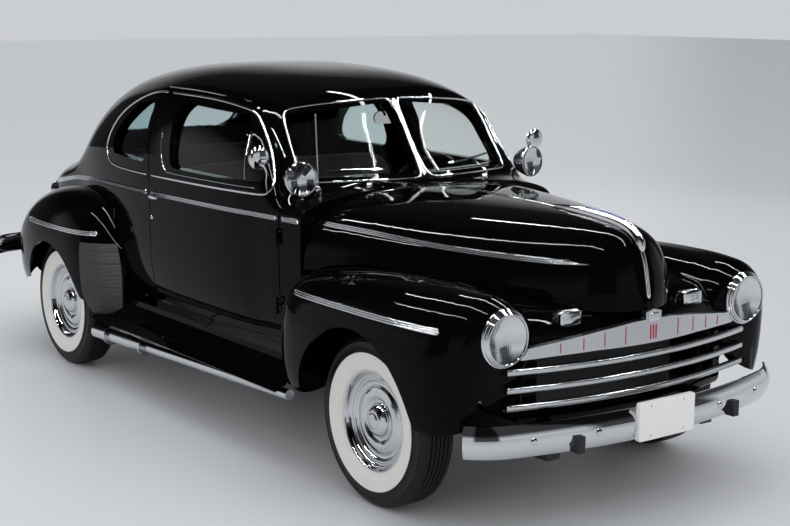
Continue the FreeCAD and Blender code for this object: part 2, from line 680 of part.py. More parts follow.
def shared_forms():
    F.body = body_solid(0)
    F.body_clear = body_solid(-D.seat_gap)
    F.cavity = cavity_solid(0)
    F.skin = F.body.cut(F.cavity)
    F.glass = body_solid(D.glass_depth, 2, 28).cut(body_solid(D.glass_depth + D.glass_thickness, 2, 28))
    F.fender_front = fender_solid(FRONT_FENDER_SHARES, 0)
    F.fender_rear = fender_solid(REAR_FENDER_SHARES, 0)
    F.hood = hood_solid(0)
    F.hood_clear = hood_solid(-D.shut_gap, D.shut_gap)
    sill = box(Vector(along(0.75), -across(SILL_SHARE), 0), Vector(along(0.25), 0, height(0.45)))
    sill_clear = box(Vector(along(0.75), -across(SILL_SHARE) - D.shut_gap, 0),
                     Vector(along(0.25), 0, height(0.45)))
    F.door = side_prism(DOOR_SHARES).cut(sill)
    leaf = [(x - (DOOR_RELIEF_SHARE if z > 0.92 else 0), z, radius) for x, z, radius in DOOR_SHARES]
    F.door_inner = side_prism(leaf, -D.shut_gap).cut(sill_clear)
    F.door_glass = side_prism(DOOR_GLASS_SHARES)
    F.quarter_glass = side_prism(QUARTER_GLASS_SHARES)
    F.arch_front = arch_tool(FRONT_AXLE, D.front_track, ARCH_RADIUS)
    F.arch_rear = arch_tool(REAR_AXLE, D.rear_track, ARCH_RADIUS)


def make_body():
    """Cabin, cowl and tail as one hollow shell with its openings cut."""
    inner_face = D.rear_track / 2 - D.tyre_width / 2 - D.arch_gap - D.sheet_thickness
    well = rod(Vector(REAR_AXLE, -inner_face, D.tyre_radius), Vector(REAR_AXLE, -HALF_WIDTH, D.tyre_radius),
               ARCH_RADIUS + D.sheet_thickness)
    shell = F.body.cut(F.cavity.cut([well, mirrored(well)]))
    tools = [F.arch_rear, mirrored(F.arch_rear), F.door, mirrored(F.door), F.quarter_glass,
             mirrored(F.quarter_glass), windscreen_prism(), rear_window_prism(), deck_prism(),
             kick_up(D.seat_gap)]
    for tool in tools:
        shell = shell.cut(tool)
    mirrored_hinges = [[mirrored(piece) for piece in pieces] for pieces in F.door_hinges]
    shell = carried(shell, F.door_hinges + mirrored_hinges + F.hood_hinges + F.deck_hinges)
    keep("body_shell", largest(shell))


def make_doors():
    door = hung(F.skin.common(F.door_inner).cut(F.door_glass), F.door_hinges)
    pane = largest(F.glass.common(side_prism(DOOR_GLASS_SHARES, -D.seat_gap)))
    handle_x = along(0.657)
    level = height(0.618)
    skin_y = -across(0.843)
    handle = rod(Vector(handle_x + D.handle_length, skin_y - D.handle_stand, level),
                 Vector(handle_x, skin_y - D.handle_stand, level), D.handle_radius)
    post = rod(Vector(handle_x + D.handle_radius, skin_y - D.handle_stand, level),
               Vector(handle_x + D.handle_radius, skin_y + D.wall_thickness / 2, level), D.handle_radius)
    mirror_x = along(0.297)
    mirror_z = height(0.783)
    mirror_y = -across(0.86)
    glass = rod(Vector(mirror_x, mirror_y, mirror_z), Vector(mirror_x + D.mirror_radius / 4, mirror_y,
                                                             mirror_z),
                D.mirror_radius)
    arm = rod(Vector(mirror_x + D.mirror_radius / 5, mirror_y, mirror_z),
              Vector(along(0.313), -across(0.757), height(0.663)), D.handle_radius / 2)
    hardware = handle.fuse(post).cut(F.body_clear)
    looking = glass.fuse(arm).cut(F.body_clear)
    hardware = Part.makeCompound([largest(hardware), largest(looking)])
    for side, change in (("right", lambda shape: shape), ("left", mirrored)):
        keep("door_" + side, change(door))
        keep("door_glass_" + side, change(pane))
        keep("door_hardware_" + side, change(hardware))


def make_deck_lid():
    keep("deck_lid", hung(F.skin.common(deck_prism(-D.shut_gap)), F.deck_hinges))
    middle = Vector(along(1.345), 0, height(0.554) + D.handle_stand / 2)
    half = Vector(0, D.handle_length / 2, 0)
    grip = rod(middle - half, middle + half, D.handle_radius)
    stem = rod(middle, middle - Vector(0, 0, D.handle_stand), D.handle_radius * 0.8)
    keep("deck_handle", largest(grip.fuse(stem).cut(F.body_clear)))


def make_glass():
    panes = F.glass.common(windscreen_prism(-D.seat_gap))
    rear = F.glass.common(rear_window_prism(-D.seat_gap))
    quarter = largest(F.glass.common(side_prism(QUARTER_GLASS_SHARES, -D.seat_gap)))
    solids = panes.Solids + rear.Solids + [quarter, mirrored(quarter)]
    keep("fixed_glass", Part.makeCompound([s for s in solids if s.Volume > D.glass_thickness * D.lamp_radius ** 2]))


def make_fenders():
    front = F.fender_front.cut(fender_solid(FRONT_FENDER_SHARES, D.sheet_thickness, True, 2, 20))
    front = front.cut(F.arch_front).cut(F.body_clear)
    keep("front_fenders", pair(largest(front)))
    rear = F.fender_rear.cut(fender_solid(REAR_FENDER_SHARES, D.sheet_thickness, True, 2, 20))
    hole = arch_tool(REAR_AXLE, D.rear_track, D.rear_opening)
    rear = largest(rear.cut(hole).cut(F.body_clear))
    keep("rear_fenders", pair(rear))
    window = box(Vector(along(0.868), -HALF_WIDTH - D.overrun, height(0.205)),
                 Vector(along(0.78), -across(0.822), height(0.437)))
    shield = fender_solid(REAR_FENDER_SHARES, -D.shield_thickness - D.seat_gap).common(window)
    shield = shield.cut(fender_solid(REAR_FENDER_SHARES, -D.seat_gap)).cut(F.arch_rear)
    keep("gravel_shields", pair(largest(shield)))


def make_hood():
    """The hood, its lower edges cut to pass over the fenders all the way up."""
    panel = F.hood.cut(hood_solid(D.sheet_thickness, D.overrun))
    form = fender_solid(FRONT_FENDER_SHARES, -D.shut_gap)
    for share in HOOD_TURN_SHARES:
        passing = form.copy()
        passing.rotate(F.hood_pin, Vector(0, 1, 0), 90 * share)
        panel = panel.cut([passing, mirrored(passing)])
    keep("hood", hung(largest(panel), F.hood_hinges))


def panel_rows(inset, filled):
    """Closed sections of the front panel, each in a plane across the car."""
    rows = []
    half = across(0.66)
    for index in range(9):
        share = 2 * index / 8 - 1
        back = D.grille_bow * abs(share * 1.06) ** 2.2
        outer = [Vector(along(x) - back, half * share, height(z)) for x, z in PANEL_SHARES]
        if filled:
            inner = [Vector(along(-0.05), half * share, height(PANEL_SHARES[0][1])),
                     Vector(along(-0.05), half * share, height(PANEL_SHARES[-1][1]))][::-1]
        else:
            inner = [point - Vector(D.sheet_thickness, 0, D.sheet_thickness * lean)
                     for point, lean in zip(outer, PANEL_LEAN_SHARES)][::-1]
        rows.append(outer + inner)
    return rows


def make_front():
    """Panel between the fenders, radiator, grille, lamps, bumper and plate."""
    panel = skinned(panel_rows(0, False))
    mouth = box(Vector(along(-0.16), -across(0.53), height(0.292)),
                Vector(along(-0.30), across(0.53), height(0.418)))
    mouth = mouth.makeFillet(height(0.02), edges_along(mouth, Vector(1, 0, 0)))
    fender = fender_solid(FRONT_FENDER_SHARES, -D.seat_gap)
    panel = panel.cut([fender, mirrored(fender)]).cut(F.hood_clear).cut(mouth)
    keep("grille_panel", largest(panel))
    front = along(-0.246)
    bars = []
    sides = [fender, mirrored(fender)]
    reach = across(0.70)
    for level in GRILLE_BAR_SHARES:
        piece = arc_bar(front + D.bar_depth, D.grille_bow, reach, height(level), D.bar_depth,
                        D.bar_height / 2,
                        D.bar_height * 0.35)
        bars.append(piece.cut(sides))
    crown = arc_bar(along(-0.250) + D.bar_depth, D.grille_bow + D.bar_depth, across(0.63), height(0.443),
                    D.bar_depth,
                    height(0.045), D.bar_depth * 0.6)
    crown = crown.common(front_view(CROWN_SHARES))
    lamp = lamp_centre()
    for sign in (-1, 1):
        middle = Vector(lamp.x, sign * lamp.y, lamp.z)
        crown = crown.cut(rod(middle, middle + Vector(D.lamp_radius, 0, 0), D.lamp_radius + D.seat_gap))
    crest = [Vector(along(-0.246), across(y), height(z)) for y, z in CREST_SHARES]
    crest = crest + [Vector(p.x, -p.y, p.z) for p in crest[::-1]]
    crest = Part.Face(Part.makePolygon(crest + crest[:1])).extrude(Vector(D.bar_depth * 1.7, 0, 0))
    bars.append(crown.fuse(crest).cut(sides))
    keep("grille", Part.makeCompound([largest(piece) for piece in bars]))
    core = box(Vector(along(-0.150), -across(0.40), height(0.236)), Vector(along(-0.168), across(0.40),
                                                                           height(0.47)))
    keep("radiator", core)


def lamp_centre():
    """Middle of the right headlamp, on the front fender's nose."""
    place, spine, _, _, level, _, _, _, _ = FRONT_FENDER_SHARES[-1]
    return Vector(along(place), -across(spine), height(level))


def make_lamps():
    """Headlamps, parking lamps, spot lamps and tail lamps."""
    centre = lamp_centre()
    rim = D.lamp_radius
    step = D.lamp_depth / 4
    profile = [(rim * 0.80, D.seat_gap), (rim * 0.985, D.seat_gap), (rim, step), (rim * 0.985, 2 * step),
               (rim * 0.93, 3 * step), (rim * 0.88, 3.7 * step), (rim * 0.82, 3.3 * step),
               (rim * 0.80, 2 * step)]
    keep("headlamps", pair(turned(profile, centre, Vector(1, 0, 0))))
    lens = rim * 0.80 - D.seat_gap
    dome = [(0, D.seat_gap), (lens, D.seat_gap), (lens, 2.2 * step), (lens * 0.85, 3.1 * step),
            (lens * 0.6, 3.8 * step),
            (lens * 0.3, 4.2 * step), (0, 4.3 * step)]
    keep("headlamp_lenses", pair(turned(dome, centre, Vector(1, 0, 0))))
    half = across(0.058)
    park = box(Vector(along(-0.190), -across(0.361) - half, height(0.470)),
               Vector(along(-0.2205), -across(0.361) + half, height(0.505)))
    park = park.makeFillet(height(0.006), park.Edges)
    park = largest(park.cut(skinned(panel_rows(0, True))).cut(F.hood_clear))
    keep("parking_lamps", pair(park))
    spot = Vector(along(0.2535), -across(0.715), height(0.730))
    size = D.spotlamp_radius
    bullet = [(0, -1.3 * size), (0.3 * size, -1.2 * size), (0.62 * size, -0.9 * size),
              (0.86 * size, -0.45 * size),
              (0.96 * size, -0.05 * size), (size, 0), (size, 0.16 * size), (0.9 * size, 0.24 * size),
              (0.5 * size, 0.34 * size), (0, 0.4 * size)]
    body = turned(bullet, spot, Vector(1, -0.12, 0.03))
    foot = rod(spot - Vector(size * 0.6, 0, size * 0.3), Vector(along(0.30), -across(0.70), height(0.70)),
               D.handle_radius * 0.8)
    keep("spotlamps", pair(largest(body.fuse(foot).cut(F.body_clear).cut(F.door))))
    tail = Vector(along(1.315), -across(0.50), height(0.505))
    glow = [(0, -size * 0.5), (size * 0.5, -size * 0.5), (size * 0.5, size * 0.1),
            (size * 0.35, size * 0.3), (0, size * 0.36)]
    lamp = turned(glow, tail, Vector(-0.8, -0.6, 0.05))
    keep("tail_lamps", pair(largest(lamp.cut(F.body_clear))))


def make_bumpers():
    """Blades at both ends, and the bare plate on its bracket."""
    front = HALF_LENGTH - D.plate_thickness - D.overrun / 8
    blades = []
    F.bumpers_clear = []
    for shares, face, rise in ((FRONT_BLADE_SHARES, front, D.bumper_height / 2),
                               (REAR_BLADE_SHARES, HALF_LENGTH, D.rear_bumper_height / 2)):
        half, corner, sweep, wrap, level = shares
        sizes = (face, across(half), across(corner), sweep, wrap, height(level), rise)
        blades.append(blade(*sizes))
        F.bumpers_clear.append(blade(*sizes, D.seat_gap))
    turn = FreeCAD.Placement(Vector(0, 0, 0), FreeCAD.Rotation(Vector(0, 0, 1), 180))
    blades[1].Placement = turn
    F.bumpers_clear[1].Placement = turn
    keep("front_bumper", blades[0])
    keep("rear_bumper", blades[1])
    plate = box(Vector(HALF_LENGTH - D.plate_thickness, -D.plate_width / 2,
                       height(PLATE_LEVEL_SHARE) - D.plate_height / 2),
                Vector(HALF_LENGTH, D.plate_width / 2, height(PLATE_LEVEL_SHARE) + D.plate_height / 2))
    bracket = box(Vector(front - D.bumper_depth, -D.plate_width / 8,
                         height(PLATE_LEVEL_SHARE) - D.plate_height / 4),
                  Vector(HALF_LENGTH - D.plate_thickness / 2, D.plate_width / 8,
                         height(PLATE_LEVEL_SHARE) + D.plate_height / 4))
    keep("number_plate", largest_front(plate.fuse(bracket).cut(F.bumpers_clear[0])))


def largest_front(shape):
    """The solid of a shape that reaches farthest forwards."""
    return max(shape.Solids, key=lambda solid: solid.BoundBox.XMax)


def rail_box(front, back, low, grow=0.0):
    """A pair of side rails between two places, low being their underside."""
    y = across(RAIL_SHARE)
    piece = box(Vector(along(back), -y - D.rail_width / 2 - grow, low - grow),
                Vector(along(front), -y + D.rail_width / 2 + grow, low + D.rail_height + grow))
    return [piece, mirrored(piece)]


def kick_up(grow=0.0):
    """Where the rails arch over the rear axle, let into the floor."""
    low = D.tyre_radius + D.axle_tube_radius + D.wheel_clearance
    y = across(RAIL_SHARE)
    piece = box(Vector(along(1.11), -y - D.rail_width / 2 - grow, low - grow),
                Vector(along(0.88), -y + D.rail_width / 2 + grow, height(0.236) + D.wall_thickness + grow))
    return Part.makeCompound([piece, mirrored(piece)])


def make_frame():
    """Two side rails on cross members, their horns reaching to the bumpers."""
    top = height(0.236) - D.seat_gap
    low = top - D.rail_height
    pieces = rail_box(-0.225, 0.905, low) + kick_up().Solids
    pieces += rail_box(1.085, 1.375, low)
    y = across(RAIL_SHARE)
    iron = D.rail_width / 4
    for sign in (-1, 1):
        front = Vector(HALF_LENGTH - D.bumper_depth, sign * y, height(FRONT_BLADE_SHARES[4]) - iron * 2)
        rear = Vector(D.bumper_depth * 1.2 - HALF_LENGTH, sign * y, height(REAR_BLADE_SHARES[4]))
        pieces.append(box(Vector(along(-0.21), front.y - iron, front.z - iron * 2),
                          Vector(front.x, front.y + iron, front.z + iron * 2)))
        pieces.append(box(Vector(rear.x, rear.y - iron, low), Vector(along(1.36), rear.y + iron,
                                                                     low + iron * 2)))
        pieces.append(box(Vector(rear.x, rear.y - iron, low),
                          Vector(rear.x + D.overrun, rear.y + iron, rear.z + iron * 2)))
        pad = Vector(along(JACK_PAD_SHARE), sign * y, low)
        reach = Vector(D.rail_width * 0.7, D.rail_width * 0.45, 0)
        pieces.append(box(pad - reach - Vector(0, 0, D.jack_pad_thickness), pad + reach))
    for place in CROSS_MEMBER_SHARES:
        pieces.append(box(Vector(along(place) - D.rail_width / 2, -y, low),
                          Vector(along(place) + D.rail_width / 2, y, top)))
    shape = pieces[0].multiFuse(pieces[1:])
    for tool in F.bumpers_clear:
        shape = shape.cut(tool)
    shape = shape.cut(F.body_clear.cut(kick_up()))
    keep("frame_rails", largest(shape.removeSplitter()))


def wheel_centres():
    for name, axle, track in (("front", FRONT_AXLE, D.front_track), ("rear", REAR_AXLE, D.rear_track)):
        for side, sign in (("left", 1), ("right", -1)):
            yield name + "_" + side, Vector(axle, sign * track / 2, D.tyre_radius), Vector(0, sign, 0)


def make_wheels():
    """Stepped rims with a domed cap and five studs, and tyres on their bead seats."""
    rim = D.rim_radius
    lip = D.rim_width / 2
    t = D.rim_thickness
    bore = D.spindle_radius + D.running_gap
    profile = [(rim + t, -lip), (rim, -lip + t), (rim * 0.86, -lip * 0.5), (rim * 0.86, lip * 0.30),
               (rim, lip - t),
               (rim + t, lip), (rim - t, lip), (rim * 0.86 - t, lip * 0.36), (rim * 0.80, lip * 0.50),
               (rim * 0.72, lip * 0.34), (rim * 0.52, lip * 0.62), (D.hub_radius, lip * 0.44),
               (D.cap_radius, lip * 0.62), (D.cap_radius * 0.8, lip * 0.88),
               (D.cap_radius * 0.4, lip * 1.02),
               (0, lip * 1.04), (0, lip * 0.5), (bore, lip * 0.5), (bore, -lip * 0.25),
               (bore * 1.8, -lip * 0.25), (D.hub_radius, lip * 0.44 - t), (rim * 0.52, lip * 0.62 - t),
               (rim * 0.72, lip * 0.34 - t), (rim * 0.86 - t, lip * 0.2), (rim * 0.86 - t, -lip * 0.44),
               (rim - t, -lip)]
    half = D.tyre_width / 2
    outer = D.tyre_radius
    tyre = [(rim + D.seat_gap, -lip + t + D.seat_gap), (rim + 0.45 * (outer - rim), -half),
            (outer - 0.16 * (outer - rim), -half * 0.90), (outer, -half * 0.66),
            (outer, half * 0.66), (outer - 0.16 * (outer - rim), half * 0.90),
            (rim + 0.45 * (outer - rim), half),
            (rim + D.seat_gap, lip - t - D.seat_gap)]
    for name, centre, out in wheel_centres():
        keep("wheel_" + name, turned(profile, centre, out))
        keep("tyre_" + name, turned(tyre, centre, out))


def make_axles():
    """Dropped front beam with its steering knuckles, and the rear axle."""
    lip = D.rim_width / 2
    level = D.tyre_radius
    pin_y = D.front_track / 2 - D.kingpin_inset
    eye = D.axle_radius * 0.8
    pin = D.spindle_radius * 0.75
    low = level - 3.2 * D.axle_radius
    eye_low = level - 2.1 * D.axle_radius
    eye_high = level - 0.8 * D.axle_radius
    beam = rod(Vector(FRONT_AXLE, -pin_y + 2 * D.axle_radius, low),
               Vector(FRONT_AXLE, pin_y - 2 * D.axle_radius, low),
               D.axle_radius * 0.8)
    pieces = []
    for sign in (-1, 1):
        elbow = Vector(FRONT_AXLE, sign * (pin_y - 2 * D.axle_radius), low)
        end = Vector(FRONT_AXLE, sign * pin_y, (eye_low + eye_high) / 2)
        pieces.append(Part.makeSphere(D.axle_radius * 0.8, elbow))
        pieces.append(rod(elbow, end, D.axle_radius * 0.6))
        pieces.append(rod(Vector(FRONT_AXLE, sign * pin_y, eye_low), Vector(FRONT_AXLE, sign * pin_y,
                                                                            eye_high), eye))
        post = box(Vector(FRONT_AXLE - D.axle_radius, sign * across(RAIL_SHARE) - D.axle_radius, low),
                   Vector(FRONT_AXLE + D.axle_radius, sign * across(RAIL_SHARE) + D.axle_radius,
                          height(0.236) - D.rail_height - 2 * D.seat_gap))
        pieces.append(post)
    beam = beam.multiFuse(pieces)
    for sign in (-1, 1):
        hole = rod(Vector(FRONT_AXLE, sign * pin_y, 0), Vector(FRONT_AXLE, sign * pin_y, level),
                   pin + D.running_gap)
        beam = beam.cut(hole)
    keep("front_axle", largest(beam.removeSplitter()))
    for side, sign in (("left", 1), ("right", -1)):
        out = Vector(0, sign, 0)
        pivot = Vector(FRONT_AXLE, sign * pin_y, level)
        up = Vector(0, 0, 1)
        knuckle = rod(pivot - up * (level - eye_low + D.wheel_clearance), pivot, pin)
        knuckle = knuckle.fuse(rod(pivot - up * (level - eye_high - D.seat_gap),
                                   pivot + up * (1.6 * D.axle_radius), eye))
        spindle_end = pivot + out * (D.kingpin_inset + lip * 0.5 - D.wheel_clearance)
        knuckle = knuckle.fuse(rod(pivot, spindle_end, D.spindle_radius))
        drum_start = pivot + out * (D.kingpin_inset - lip * 0.82)
        drum = rod(drum_start, pivot + out * (D.kingpin_inset - lip * 0.25 - D.wheel_clearance),
                   D.rim_radius * 0.68)
        keep("knuckle_" + side, largest(knuckle.fuse(drum).removeSplitter()))
    tip = D.rear_track / 2 + lip * 0.5 - D.wheel_clearance
    rear = rod(Vector(REAR_AXLE, -tip, level), Vector(REAR_AXLE, tip, level), D.spindle_radius)
    shoulder = D.rear_track / 2 - lip * 0.82
    rear = rear.fuse(rod(Vector(REAR_AXLE, -shoulder, level), Vector(REAR_AXLE, shoulder, level),
                         D.axle_tube_radius))
    for sign in (-1, 1):
        start = Vector(REAR_AXLE, sign * shoulder, level)
        end = Vector(REAR_AXLE, sign * (D.rear_track / 2 - lip * 0.25 - D.wheel_clearance), level)
        rear = rear.fuse(rod(start, end, D.rim_radius * 0.68))
        pad = box(Vector(REAR_AXLE - D.axle_radius, sign * across(RAIL_SHARE) - D.axle_radius, level),
                  Vector(REAR_AXLE + D.axle_radius, sign * across(RAIL_SHARE) + D.axle_radius,
                         level + D.axle_tube_radius + D.wheel_clearance - D.seat_gap))
        rear = rear.fuse(pad)
    rear = rear.fuse(Part.makeSphere(D.axle_tube_radius * 3, Vector(REAR_AXLE, 0, level)).cut(
        box(Vector(REAR_AXLE - HALF_WIDTH, -HALF_WIDTH, height(0.234)), Vector(REAR_AXLE + HALF_WIDTH,
                                                                               HALF_WIDTH, HALF_WIDTH))))
    keep("rear_axle", largest(rear.removeSplitter()))


def make_underside():
    """Running boards, lake pipes, engine and fuel tank."""
    flare = [Vector(along(0.86), -across(y), height(z)) for y, z in BOARD_SHARES]
    under = [point - Vector(0, -D.sheet_thickness * 0.7, D.sheet_thickness * 0.7) for point in flare][::-1]
    section = flare + under + flare[:1]
    board = Part.Face(Part.makePolygon(section)).extrude(Vector(along(0.226) - along(0.86), 0, 0))
    fender_front = fender_solid(FRONT_FENDER_SHARES, -D.seat_gap)
    fender_rear = fender_solid(REAR_FENDER_SHARES, -D.shield_thickness - 2 * D.seat_gap)
    board = board.cut([fender_front, fender_rear, F.body_clear])
    keep("running_boards", pair(largest(board)))
    start = Vector(along(0.222), -across(0.845), height(0.184))
    end = Vector(along(0.870), -across(0.880), height(0.150))
    line = (end - start)
    length = line.Length
    small = D.pipe_radius
    big = D.cone_radius
    profile = [(0, 0), (small, 0), (small, 0.70 * length), (small * 1.9, 0.70 * length),
               (small * 1.9, 0.708 * length),
               (small, 0.708 * length), (big * 0.86, 0.80 * length), (big * 0.86, 0.90 * length),
               (big * 1.25, 0.90 * length),
               (big * 1.25, 0.908 * length), (big, 0.908 * length), (big, length * 0.99),
               (big * 0.8, length), (0, length)]
    pipe = turned(profile, start, line)
    hangers = []
    for share in (0.10, 0.55):
        spot = start + line * share
        hangers.append(rod(spot, Vector(spot.x, -across(0.60), height(0.26)), small / 3))
    pipe = pipe.multiFuse(hangers).cut(F.body_clear)
    keep("lake_pipes", pair(largest(pipe)))
    bottom = height(0.236)
    centre = along(-0.005)
    engine = box(Vector(centre - D.engine_length / 2, -D.engine_width / 2, bottom),
                 Vector(centre + D.engine_length / 2, D.engine_width / 2, bottom + D.engine_height))
    keep("engine", engine.makeFillet(D.wall_thickness, edges_along(engine, Vector(1, 0, 0))))
    tank = box(Vector(along(1.30), -across(0.34), height(0.165)), Vector(along(1.145), across(0.34),
                                                                         height(0.275)))
    tank = tank.makeFillet(D.sheet_thickness * 2, edges_along(tank, Vector(0, 1, 0)))
    keep("fuel_tank", largest(tank.cut(F.body_clear)))


def make_cabin():
    """Bench seats on their frames, dashboard, column and steering wheel."""
    floor = height(0.236) + D.wall_thickness
    half = D.seat_width / 2
    soft = D.cushion_height
    lean = math.radians(D.seat_lean)
    round_edge = soft / 4
    dip = (soft - round_edge) * math.sin(lean) + round_edge * (1 - math.cos(lean))
    base = floor + height(0.075)
    for name, place, width in (("front_seat", 0.455, half), ("rear_seat", 0.755, half * 0.88)):
        front = along(place)
        cushion = box(Vector(front - 3.4 * soft, -width, base), Vector(front, width, base + soft))
        cushion = cushion.makeFillet(round_edge, cushion.Edges)
        back = box(Vector(-soft, -width, 0), Vector(0, width, 2.5 * soft))
        back = back.makeFillet(round_edge, back.Edges)
        back.Placement = FreeCAD.Placement(Vector(front - 2.35 * soft, 0, base + soft + D.seat_gap + dip),
                                           FreeCAD.Rotation(Vector(0, 1, 0), -D.seat_lean))
        keep(name, Part.makeCompound([cushion, back]))
    frames = []
    room = cavity_solid(D.seat_gap)
    for place, width in ((0.455, half), (0.755, half * 0.88)):
        stand = box(Vector(along(place) - 2.8 * soft, -width * 0.9, floor - D.overrun),
                    Vector(along(place) - 0.3 * soft, width * 0.9, base - D.seat_gap))
        frames.append(largest(stand.common(room)))
    keep("seat_frames", Part.makeCompound(frames))
    wall = along(0.224) - D.wall_thickness
    dash = box(Vector(along(0.305), -across(0.65), height(0.57)), Vector(wall + D.overrun, across(0.65),
                                                                         height(0.665)))
    dash = dash.makeFillet(height(0.02), edges_along(dash, Vector(0, 1, 0)))
    keep("dashboard", largest(dash.common(room)))
    hub = Vector(along(0.42), across(0.39), height(0.636))
    foot = Vector(wall, across(0.39), height(0.42))
    tilt = foot - hub
    tilt.normalize()
    shaft = rod(hub + tilt * (D.column_radius + D.wheel_clearance), foot + tilt * D.overrun, D.column_radius)
    shaft = shaft.fuse(rod(hub, hub + tilt * (3 * D.column_radius), D.column_radius / 2))
    keep("steering_column", largest(shaft.common(room).cut(dash)))
    rim = Part.makeTorus(D.steering_wheel_radius, D.steering_rim_radius, hub, tilt)
    bore = rod(hub, hub + tilt * (4 * D.column_radius), D.column_radius / 2 + D.running_gap)
    boss = rod(hub - tilt * D.column_radius, hub + tilt * D.column_radius, D.column_radius * 1.6)
    across_axis = Vector(0, 1, 0)
    spokes = []
    for angle in (0, 120, 240):
        reach = FreeCAD.Rotation(tilt, angle).multVec(across_axis)
        spokes.append(rod(hub, hub + reach * D.steering_wheel_radius, D.steering_rim_radius * 0.6))
    wheel = rim.multiFuse([boss] + spokes).cut(bore)
    keep("steering_wheel", largest(wheel))


shared_forms()
place_hinges()
make_body()
make_doors()
make_deck_lid()
make_glass()
make_fenders()
make_hood()
make_front()
make_lamps()
make_bumpers()
make_frame()
make_wheels()
make_axles()
make_underside()
make_cabin()

DOC.recompute()
for thing in DOC.Objects:
    if "Invalid" in thing.State or "Error" in thing.State:
        raise ValueError(thing.Label + " failed")
for node, thing in NODES.items():
    if thing.Shape.isNull() or not thing.Shape.isValid():
        raise ValueError(node + " is not a valid solid")
os.makedirs("parts", exist_ok=True)
for node, thing in NODES.items():
    thing.Shape.exportStep("parts/" + node + ".step")
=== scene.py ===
"""Looks of a full-size 1946-pattern coupe, added to its CAD frame.

Frame: +X points forwards, +Y to the car's left, +Z up, metres. Places are shares of the
wheelbase behind the front axle, of the half width and of the roof height, as in the CAD source.
"""
import json
import math
import bmesh
import bpy
import numpy as np
from mathutils import Matrix, Vector
from mathutils.bvhtree import BVHTree

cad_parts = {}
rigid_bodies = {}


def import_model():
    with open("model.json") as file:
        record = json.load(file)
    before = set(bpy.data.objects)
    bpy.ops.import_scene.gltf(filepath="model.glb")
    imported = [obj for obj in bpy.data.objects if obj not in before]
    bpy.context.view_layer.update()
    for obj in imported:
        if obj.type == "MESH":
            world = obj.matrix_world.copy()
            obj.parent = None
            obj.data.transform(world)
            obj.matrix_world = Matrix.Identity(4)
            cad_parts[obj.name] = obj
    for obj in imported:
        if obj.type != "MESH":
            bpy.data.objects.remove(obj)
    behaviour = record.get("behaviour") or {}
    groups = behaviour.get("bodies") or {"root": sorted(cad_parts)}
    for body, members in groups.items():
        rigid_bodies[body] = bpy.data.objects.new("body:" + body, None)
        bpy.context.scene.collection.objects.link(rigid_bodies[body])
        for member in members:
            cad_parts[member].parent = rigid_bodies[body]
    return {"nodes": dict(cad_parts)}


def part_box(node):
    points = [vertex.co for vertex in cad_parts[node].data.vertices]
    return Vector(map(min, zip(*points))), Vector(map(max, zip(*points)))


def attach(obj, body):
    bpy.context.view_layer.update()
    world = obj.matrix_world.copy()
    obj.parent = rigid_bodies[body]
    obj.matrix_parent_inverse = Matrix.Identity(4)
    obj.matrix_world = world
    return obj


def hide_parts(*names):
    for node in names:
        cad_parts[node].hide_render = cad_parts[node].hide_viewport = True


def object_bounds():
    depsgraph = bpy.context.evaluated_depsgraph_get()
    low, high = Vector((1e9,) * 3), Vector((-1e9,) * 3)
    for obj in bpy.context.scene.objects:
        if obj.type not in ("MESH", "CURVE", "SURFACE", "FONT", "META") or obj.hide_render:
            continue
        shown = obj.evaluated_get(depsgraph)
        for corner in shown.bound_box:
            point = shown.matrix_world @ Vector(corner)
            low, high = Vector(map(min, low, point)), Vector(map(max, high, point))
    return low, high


bl_info = {
    "name": "Coupe looks",
    "version": (1, 0, 0),
    "blender": (4, 5, 0),
    "location": "View3D > Sidebar > Coupe",
    "description": "Finishes and detailed pieces for the coupe's CAD frame",
    "category": "Object",
}

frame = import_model()
CAD_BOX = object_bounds()
RIGHT, LEFT = -1, 1
FORTH, BACK, UP, DOWN = (1, 0, 0), (-1, 0, 0), (0, 0, 1), (0, 0, -1)


def middle(node):
    """Middle of a CAD node's box."""
    low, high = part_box(node)
    return (np.array(low) + np.array(high)) / 2


FRONT_AXLE = middle("tyre_front_left")[0]
REAR_AXLE = middle("tyre_rear_left")[0]
WHEELBASE = FRONT_AXLE - REAR_AXLE
HALF_WIDTH = CAD_BOX[1].y
ROOF = 1.696

# Shares at which trim lines start off the car, before they are carried onto its skin
AHEAD, BEHIND, ABOVE, BESIDE = -0.6, 2.0, 0.9, 1.2

# Metres by which a ray starts back from its point
FAR = 8.0

# Lengths within which points are one: in the CAD's meshes, and in the shapes made here
JOIN, WELD = 1e-5, 2e-6

# Radius of a turned profile's point on its axis
CORE = 1e-5

# The photograph's camera: its place, its turn, and the width of its view in degrees
EYE = (FRONT_AXLE + 4.5548, -4.08405, 2.00858)
AZIMUTH, RISE, ROLL = (math.radians(v) for v in (53.37865782, 10.24737434, 0.34513271))
VIEW_ANGLE = 30.34376


def colour_setting(name, text, *default):
    """A colour that the user can change."""
    return bpy.props.FloatVectorProperty(name=name, description=text, size=4, subtype="COLOR", min=0, max=1,
                                         default=default)


def length_setting(name, text, default, low, high):
    """A length that the user can change."""
    return bpy.props.FloatProperty(name=name, description=text, unit="LENGTH", default=default, min=low,
                                   max=high)


class CoupePaint(bpy.types.PropertyGroup):
    """Colours of the car's finishes."""
    body: colour_setting("Body paint", "Gloss paint of every panel", 0.0016, 0.0016, 0.0019, 1)
    bright: colour_setting("Bright metal", "Plated trim, bumpers and wheels", 0.66, 0.67, 0.69, 1)
    wall: colour_setting("White wall", "Broad white band on the tyres", 0.78, 0.77, 0.73, 1)
    accent: colour_setting("Accent", "Lines and stripes on the grille", 0.42, 0.012, 0.02, 1)
    cloth: colour_setting("Seat cloth", "Cloth of the benches", 0.1, 0.085, 0.07, 1)


